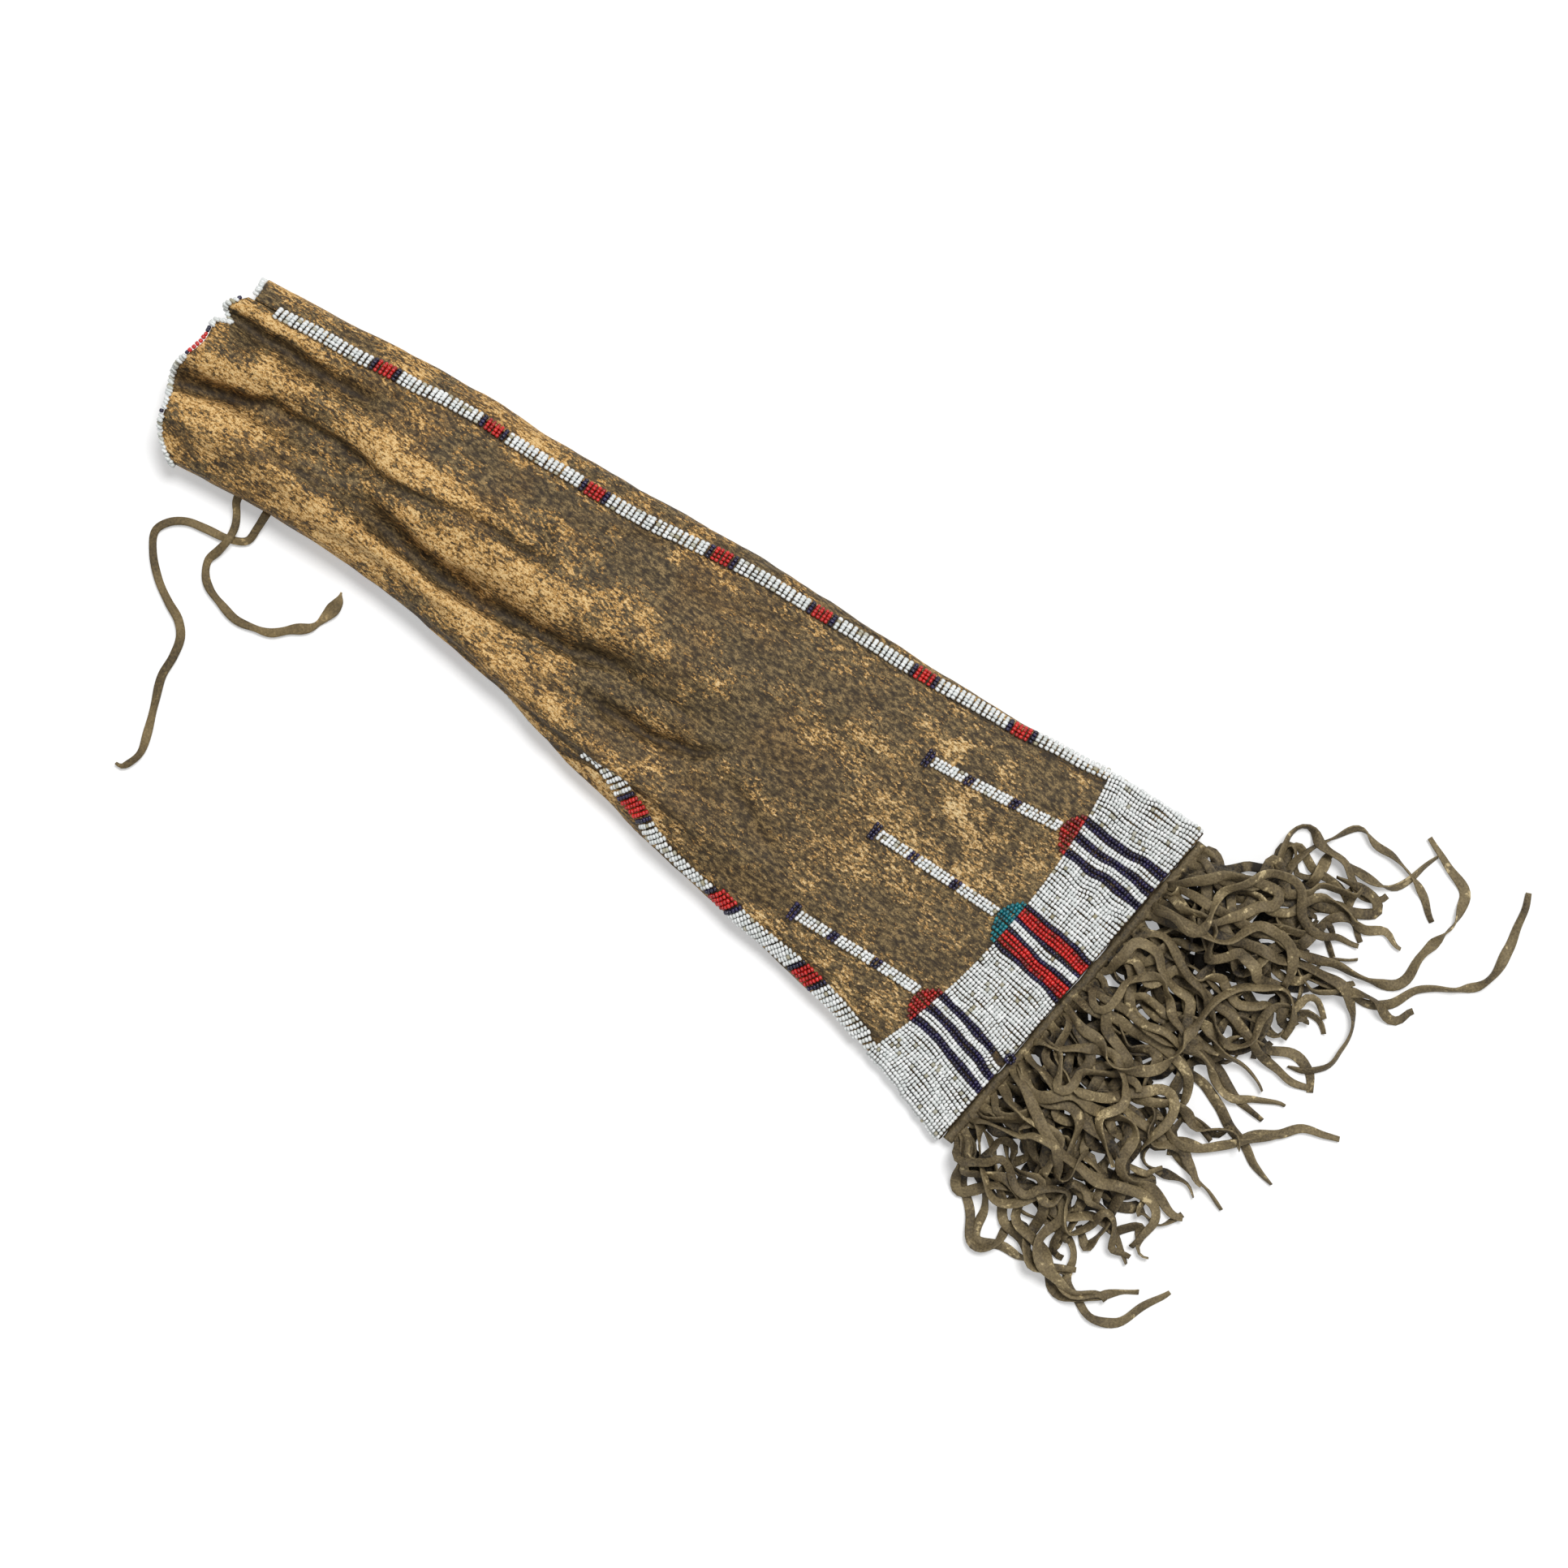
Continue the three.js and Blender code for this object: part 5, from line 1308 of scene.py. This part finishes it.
def mouth_edging(side, lift, overlap, marks):
    column = np.linspace(*RIM_ENDS, RIM_STEPS)
    x, angle = panel_places(side, np.zeros(1), column)
    rim, normals = on_hide(x, angle)
    next_x, next_angle = panel_places(side, np.full(1, RIM_PROBE), column)
    out = unit(rim - on_hide(next_x, next_angle)[0])
    reach = np.concatenate([[0], np.cumsum(np.linalg.norm(np.diff(rim, axis=0), axis=1))])
    picked = np.searchsorted(reach, np.arange(EDGING_PITCH / 2, reach[-1], EDGING_PITCH))
    rise = EDGING_STAGGER * (2 * (np.arange(len(picked)) % 2) - 1) + lift
    seat = rim[picked] + normals[picked] * rise[:, None]
    along = np.gradient(seat, axis=0)
    colours = np.full(len(picked), "white", object)
    for y, half, colour in marks:
        colours[np.abs(seat[:, 1] - y) < half] = colour
    for colour in sorted(set(colours)):
        chosen = colours == colour
        out_of_rim = out[picked][chosen]
        ups = normals[picked][chosen]
        if colour == "white":
            # White edging beads get their painted shade here
            centres = seat[chosen] + out_of_rim * (EDGING_SIZE / 2 - overlap)
            add_beads("mouth", colour, centres, out_of_rim, ups, EDGING_SIZE, EDGING_WIDTH, EDGING_SHADE)
        else:
            centres = seat[chosen] + out_of_rim * MARK_WIDTH / 2
            add_beads("mouth", colour, centres, along[chosen], ups, BEAD_FILL * EDGING_PITCH, MARK_WIDTH)


mouth_edging("front", *FRONT_EDGING, RIM_MARKS)
mouth_edging("back", *BACK_EDGING, ())

# Plain bead band under the bag
back_count = int(BAND_LENGTH / BEAD_LENGTH)
back_u = middles(back_count)
for column in lerp(BACK_MARGIN, 1 - BACK_MARGIN, middles(BACK_STRINGS)):
    x = np.full(back_count, BAND_TOP_X)
    for _ in range(PASSES):
        angle = panel_angle(x, "back", column)
        x = lerp(band_top(np.cos(angle)), band_bottom(np.cos(angle)), back_u)
    points, normals = on_hide(x, angle)
    centres = points + normals * (BEAD_SEAT + CLEARANCE / 2 - lane_dip(back_u))[:, None]
    steps = np.gradient(centres, axis=0)
    length = BEAD_FILL * np.linalg.norm(steps, axis=1).mean()
    add_beads("back", "white", centres, unit(steps), normals, length, BACK_BEAD_WIDTH)


def stripe_nodes(wanted):
    return [f"{colour}_stripe_{k + 1:02d}" for k, (colour, _) in enumerate(STRIPES) if colour == wanted]


# Nodes that the bead pieces stand for; the marks on strips and rims have none of their own
BEAD_NODES = {
    ("band", "white"): stripe_nodes("white"),
    ("band", "navy"): stripe_nodes("navy"),
    ("band", "red"): stripe_nodes("red"),
    ("cap", "red"): ["upper_cap", "lower_cap"],
    ("cap", "teal"): ["middle_cap"],
    ("line", "white"): ["upper_line", "middle_line", "lower_line"],
    ("line", "navy"): ["upper_line_head", "middle_line_head", "lower_line_head"],
    ("seam", "white"): ["upper_seam_strip", "lower_seam_strip"],
    ("mouth", "white"): ["front_mouth_edging", "back_mouth_edging"],
    ("back", "white"): ["back_bead_band"],
}
for group, colour in bead_sets:
    make_beads(group, colour, BEAD_NODES.get((group, colour), ()))


# Fringe: a strip of hide sewn into the bottom edge and cut into thongs below a welt
def seeded_random(seed):
    """Repeatable random numbers from 0 to 1."""
    state = seed
    word = 0xFFFFFFFF

    def draw():
        nonlocal state
        state = (state + 0x6D2B79F5) & word
        mixed = ((state ^ (state >> 15)) * (1 | state)) & word
        mixed = ((mixed + (mixed ^ (mixed >> 7)) * (61 | mixed)) & word) ^ mixed
        return (mixed ^ (mixed >> 14)) / (word + 1)

    return draw


# Thongs followed from root to tip: rank in the pile from 0 on the floor to 1 on top, and points as
# [share of the thong length past the bottom edge, share of half the bottom width]
ROUTES = [
    (0.4, [[0, 0.86], [0.28, 0.99], [0.34, 1.26], [0.42, 1.49], [0.53, 1.49], [0.7, 1.45], [0.85, 1.35]]),
    (0.55, [[0, 0.8], [0.42, 1.06], [0.4, 1.31], [0.51, 1.31], [0.66, 1.36], [0.7, 1.62]]),
    (0.7, [[0, 0.69], [0.55, 0.84], [0.89, 0.99], [0.9, 1.22], [0.91, 1.44], [0.88, 1.55], [0.76, 1.61],
           [0.64, 1.67]]),
    (0.15, [[0, 0.61], [0.55, 0.74], [0.92, 0.87], [0.98, 1.03], [1.09, 1.16], [1.13, 1.26], [1.12, 1.47],
            [1.05, 1.75]]),
    (0.8, [[0, 0.51], [0.47, 0.74], [0.75, 0.82], [0.88, 0.71], [0.91, 0.53], [0.85, 0.39], [0.79, 0.35]]),
    (0.3, [[0, 0.42], [0.47, 0.55], [0.84, 0.87], [0.98, 0.86], [1.02, 0.93]]),
    (0.62, [[0, 0.23], [0.39, 0.38], [0.67, 0.31], [0.82, 0.29], [0.91, 0.32]]),
    (0.48, [[0, -0.19], [0.47, -0.32], [0.75, -0.22], [0.88, -0.01], [0.98, 0.13], [1.11, 0.22]]),
    (0.92, [[0, -0.48], [0.13, -0.55], [0.32, -0.66], [0.51, -0.65], [0.75, -0.59], [0.8, -0.66],
            [0.79, -0.83]]),
    (0.5, [[0, -0.78], [0.15, -0.83], [0.34, -1.07], [0.59, -1.17], [0.67, -1.12]]),
    (0.3, [[0, -0.91], [0.2, -1], [0.29, -1.12], [0.34, -1.27], [0.48, -1.2], [0.62, -1.18], [0.72, -1.23],
           [0.92, -0.98]]),
    (0.1, [[0, -0.67], [0.39, -0.93], [0.64, -1.02], [0.7, -1.15], [0.83, -1.22], [0.92, -1.17], [0.97, -1],
           [1.01, -0.89]]),
    (0.75, [[0, -0.38], [0.58, -0.57], [0.66, -0.79], [0.67, -0.97], [0.59, -0.91]]),
    (1, [[0, -0.08], [0.31, -0.15], [0.41, -0.06], [0.45, 0.11], [0.41, 0.32], [0.45, 0.48], [0.59, 0.63],
         [0.69, 0.55], [0.71, 0.44]]),
    (0.97, [[0, -0.32], [0.09, -0.26], [0.29, -0.12], [0.41, -0.25], [0.38, -0.42], [0.53, -0.58]]),
    (0.85, [[0, 0.04], [0.52, 0.13], [0.7, 0.07], [0.88, 0.18]]),
    (0.78, [[0, -0.02], [0.47, 0.04], [0.58, -0.08], [0.59, -0.24], [0.71, -0.27], [0.81, -0.15],
            [0.94, 0.04]]),
    (0.25, [[0, -0.25], [0.47, -0.23], [0.79, -0.36], [0.95, -0.42]]),
    (0.2, [[0, -0.13], [0.55, 0.02], [0.87, -0.11], [0.98, -0.15], [1.03, -0.16]]),
    (0.95, [[0, 0.69], [0.09, 0.78], [0.17, 0.92], [0.34, 0.99], [0.36, 0.93], [0.32, 0.86], [0.2, 0.66]]),
    (0.9, [[0, 0.57], [0.32, 0.65], [0.36, 0.8], [0.47, 0.84], [0.57, 0.73], [0.59, 0.65]]),
    (0.65, [[0, 0.84], [0.48, 1.08], [0.66, 1.17], [0.67, 1.22], [0.6, 1.26], [0.47, 1.24]]),
]
# How loose thongs lie: angles in radians, wave lengths and lengths as shares, and where they come free
LOOSE = {
    "spread": 0.42, "lean": (-0.3, 0.3), "swing": (0.6, 1.3), "swing_share": (0.75, 1.25),
    "curl": (0.3, 0.8), "curl_share": (0.8, 1.25), "length_share": (0.8, 1.2), "free": FREE_LENGTH,
    "kink": 0.01,
}
CURLED = {
    "spread": 0.3, "lean": (-0.6, 0.6), "swing": (0.3, 1.0), "swing_share": (0.6, 1.3),
    "curl": (0.2, 0.8), "curl_share": (0.5, 1.0), "length_share": (0.5, 1.15), "free": 12.0,
    "kink": 3.2,
}
EXTRA_JITTER = (0.2, 0.8)
PLAN_STEPS = 42
THONG_STEP = 2.2
THONG_SLOPE = 1.7
DRAPE_SOFTENING = np.array([1, 2, 3, 2, 1]) / 9
ROOT_RISE = 8.0
ROOT_WIDTH_SHARE = 0.66
ROOT_WIDENING = 18.0
TIP_NARROWS_FROM = 0.85
TIP_THINS_FROM = 0.97
TIP_THICKNESS_SHARE = 0.5
TWIST_MOST = 1.1
TWIST_GIVE = 0.6
SLACK_MOST = 0.5
SLACK_LEVEL = 0.35
CUP_LEVEL = -0.5
THONG_WEAR = 0.54
# How much lighter the thongs are along their edges, and how narrow that lighter band is
EDGE_LIGHTENING = 0.1
EDGE_SHARPNESS = 4
# Painted shade deep in the heap: its most darkening, and the depth at which that is reached
BURIED_SHADE = 0.42
BURIED_DEPTH = 14.0
# Waves of noise along a thong, and from one thong to the next
NUMBER_STRIDE = 7.31
KINK_WAVE = (1.9, 11, 1, 49)
TWIST_WAVE = (1.7, 17, 1, 41)
WIDTH_WAVE = (0.12, 14, 1, 43)
SLACK_WAVE = (1, 21, 1, 44)
CUP_WAVE = (0.8, 35, 1, 45)
WEAR_WAVE = (0.15, 9, 1, 46)
WIDTH_OF_EACH = (0.16, 1, 1, 47)
WEAR_OF_EACH = (0.12, 1, 1, 48)


def bottom_edge_x(y):
    return BODY_LENGTH / 2 + BOTTOM_SKEW * y


def route_plan(points):
    past, across = np.array(points).T
    y = across * BOTTOM_WIDTH / 2
    return np.stack([bottom_edge_x(y) + np.where(past == 0, ROOT_DEPTH, past * THONG_LENGTH), y], 1)


def kinked(wave, kink):
    """A wave with its slopes steepened, so that what follows it runs straight between sharp bends."""
    return np.tanh(kink * wave) / math.tanh(kink)


def drawn_twist(draw):
    return TURN * draw(), TWIST_MOST * (2 * draw() - 1)


def loose_plan(root_y, length, draw, habit):
    """Plan points of a loose thong that swings and curls away from its root."""
    lean = lerp(*habit["lean"], draw())
    swing = lerp(*habit["swing"], draw())
    swing_length = SWING_LENGTH * lerp(*habit["swing_share"], draw())
    swing_start = TURN * draw()
    curl = lerp(*habit["curl"], draw())
    curl_length = CURL_LENGTH * lerp(*habit["curl_share"], draw())
    curl_start = TURN * draw()
    step = length / PLAN_STEPS
    reach = np.arange(1, PLAN_STEPS + 1) * step
    swung = swing * kinked(np.sin(TURN * reach / swing_length + swing_start), habit["kink"])
    curled = curl * kinked(np.sin(TURN * reach / curl_length + curl_start), habit["kink"])
    spread = habit["spread"] * root_y / (BOTTOM_WIDTH / 2)
    heading = spread + smoothstep(reach, 0, habit["free"]) * (lean + swung + curled)
    x = bottom_edge_x(root_y) + ROOT_DEPTH + np.concatenate([[0], np.cumsum(np.cos(heading))]) * step
    y = root_y + np.concatenate([[0], np.cumsum(np.sin(heading))]) * step
    return np.stack([x, y], 1)


# Height of the heap so far, on a grid of cells over the floor
HEAP_CELL = 1.5
HEAP_FROM = np.array([240.0, -190.0])
HEAP_CELLS = (140, 260)
HEAP_SAMPLES = 7
heap = np.zeros(HEAP_CELLS)
fringe_points = []
fringe_faces = []
fringe_wear_and_shading = []
thong_tops = []


def left_of(flat):
    """Directions to the left of a line of plan points."""
    heading = unit(np.gradient(flat, axis=0))
    return np.stack([-heading[:, 1], heading[:, 0]], 1)


def heap_cells(flat, spread):
    """Cells of the heap that a thong lies over, a row of them for each of its points."""
    offsets = np.linspace(-1, 1, HEAP_SAMPLES)[None, :, None] * spread[:, None, None]
    places = flat[:, None, :] + left_of(flat)[:, None, :] * offsets
    cells = np.floor((places - HEAP_FROM) / HEAP_CELL).astype(int)
    return np.clip(cells[..., 0], 0, HEAP_CELLS[0] - 1), np.clip(cells[..., 1], 0, HEAP_CELLS[1] - 1)


def draped(needed, step):
    """Lowest line over the needed heights that is no steeper than a stiff thong lies."""
    line = needed.copy()
    fall = THONG_SLOPE * step
    for i in range(1, len(line)):
        line[i] = max(line[i], line[i - 1] - fall)
    for i in range(len(line) - 2, -1, -1):
        line[i] = max(line[i], line[i + 1] - fall)
    padded = np.pad(line, len(DRAPE_SOFTENING) // 2, mode="edge")
    return np.convolve(padded, DRAPE_SOFTENING, mode="valid")


def add_tube(rings, wear_and_shading):
    quads, start, end = tube_faces(rings.shape[0], rings.shape[1])
    base = sum(len(points) for points in fringe_points)
    fringe_points.append(rings.reshape(-1, 3))
    fringe_faces.extend((quads + base).tolist() + [(start + base).tolist(), (end + base).tolist()])
    fringe_wear_and_shading.append(wear_and_shading)


def add_thong(plan, row, twist, number):
    """A flat thong that twists and cups, laid on the heap so far."""
    length = np.linalg.norm(np.diff(plan, axis=0), axis=1).sum()
    count = int(length / THONG_STEP) + 2
    flat = smooth_path(plan, count)
    share = np.linspace(0, 1, count)
    reach = share * length
    own = np.full(count, number * NUMBER_STRIDE)
    free = smoothstep(reach, 0, ROOT_RISE)
    flat = flat + left_of(flat) * (free * ripple(reach, own, KINK_WAVE))[:, None]
    turn, most = twist
    twists = free * (ripple(reach, own, TWIST_WAVE) + most * np.sin(math.pi * share + turn))
    widths = THONG_WIDTH * (1 + ripple(own, own, WIDTH_OF_EACH) + ripple(reach, own, WIDTH_WAVE))
    widths = widths * lerp(1, THONG_TIP_SHARE, smoothstep(share, TIP_NARROWS_FROM, 1))
    widths = widths * lerp(ROOT_WIDTH_SHARE, 1, smoothstep(reach, 0, ROOT_WIDENING))
    thicknesses = THONG_THICKNESS * lerp(1, TIP_THICKNESS_SHARE, smoothstep(share, TIP_THINS_FROM, 1))
    leaning = np.abs(np.sin(twists))
    flatness = np.abs(np.cos(twists))
    cups = free * (CUP_LEVEL + ripple(reach, own, CUP_WAVE))
    half_height = (leaning * widths + flatness * thicknesses) / 2
    given = (TWIST_GIVE * leaning * widths + flatness * thicknesses) / 2
    cells = heap_cells(flat, (flatness * widths + leaning * thicknesses) / 2)
    slack = SLACK_MOST * free * clamp01(SLACK_LEVEL + ripple(reach, own, SLACK_WAVE)) * (1 - share)
    needed = heap[cells].max(axis=1) + given + np.maximum(-cups, 0)
    lying = draped(needed, length / (count - 1)) + slack
    root = THONG_ROOT_HEIGHT + row * (WELT_HEIGHT / 2 - THONG_THICKNESS)
    height = np.maximum(lerp(root, lying, free), half_height + np.maximum(-cups, 0))
    top = height + given + np.maximum(cups, 0)
    np.maximum.at(heap, cells, np.repeat(top[:, None], cells[0].shape[1], axis=1))
    path = np.concatenate([flat, height[:, None]], 1)
    rings = ribbon_rings(path, widths, thicknesses, twists, cups)
    edge = np.abs(np.cos(np.arange(RIBBON_SIDES) * TURN / RIBBON_SIDES)) ** EDGE_SHARPNESS
    tone = THONG_WEAR + ripple(reach, own, WEAR_WAVE) + ripple(own, own, WEAR_OF_EACH)
    add_tube(rings, tone[:, None] + EDGE_LIGHTENING * edge)
    thong_tops.append((cells, top))


WELT_RINGS = 170
WELT_SIDES = 16
WELT_SQUARENESS = 0.8
WELT_WAVES = ((0.16, 7, 1 / 1.6, 51), (0.12, 2.8, 1, 52))
WELT_WEAR = 0.42


def add_welt():
    y = np.linspace(1, -1, WELT_RINGS)[:, None] * WELT_SHARE * BOTTOM_WIDTH / 2
    turn = np.arange(WELT_SIDES)[None, :] * TURN / WELT_SIDES
    u, v = rounded(turn, WELT_SQUARENESS)
    swell = 1 + sum(ripple(y, turn, wave) for wave in WELT_WAVES)
    x = bottom_edge_x(y) + CLEARANCE + WELT_LENGTH / 2 * (1 + u * swell)
    z = THONG_ROOT_HEIGHT + WELT_HEIGHT / 2 * v * swell
    rings = np.stack(np.broadcast_arrays(x, y, z), -1)
    add_tube(rings, np.full(rings.shape[:2], WELT_WEAR))


LOWER_ROW = -1
MIDDLE_ROW = 0
UPPER_ROW = 1
thongs = []
thong_draw = seeded_random(FRINGE_SEED)
for k, place in enumerate(middles(THONG_COUNT)):
    root_y = (1 - 2 * place) * ROOT_SHARE * BOTTOM_WIDTH / 2
    length = THONG_LENGTH * lerp(*LOOSE["length_share"], thong_draw())
    twist = drawn_twist(thong_draw)
    rank = ((k * RANK_STRIDE) % THONG_COUNT + 0.5) / THONG_COUNT
    thongs.append((rank, LOWER_ROW, twist, loose_plan(root_y, length, thong_draw, LOOSE)))
for rank, points in ROUTES:
    thongs.append((rank, UPPER_ROW, drawn_twist(thong_draw), route_plan(points)))
extra_draw = seeded_random(EXTRA_SEED)
for k in range(EXTRA_THONGS):
    place = (k + lerp(*EXTRA_JITTER, extra_draw())) / EXTRA_THONGS
    root_y = (1 - 2 * place) * ROOT_SHARE * BOTTOM_WIDTH / 2
    length = THONG_LENGTH * lerp(*CURLED["length_share"], extra_draw())
    rank = extra_draw()
    twist = drawn_twist(extra_draw)
    thongs.append((rank, MIDDLE_ROW, twist, loose_plan(root_y, length, extra_draw, CURLED)))
for number, (_, row, twist, plan) in enumerate(sorted(thongs, key=itemgetter(0))):
    add_thong(plan, row, twist, number)
# Painted shade: thongs deep in the heap are darkened, more the deeper they lie under those on top of it
for wear_and_shading, (cells, top) in zip(fringe_wear_and_shading, thong_tops):
    buried = heap[cells].max(axis=1) - top
    wear_and_shading -= BURIED_SHADE * clamp01(buried / BURIED_DEPTH)[:, None]
add_welt()
fringe_values = {"wear_and_shading": np.concatenate([wear_and_shading.ravel() for wear_and_shading in fringe_wear_and_shading])}
fringe = make_piece("cut_fringe", np.concatenate(fringe_points), fringe_faces, THONG, fringe_values,
                    ["fringe"])
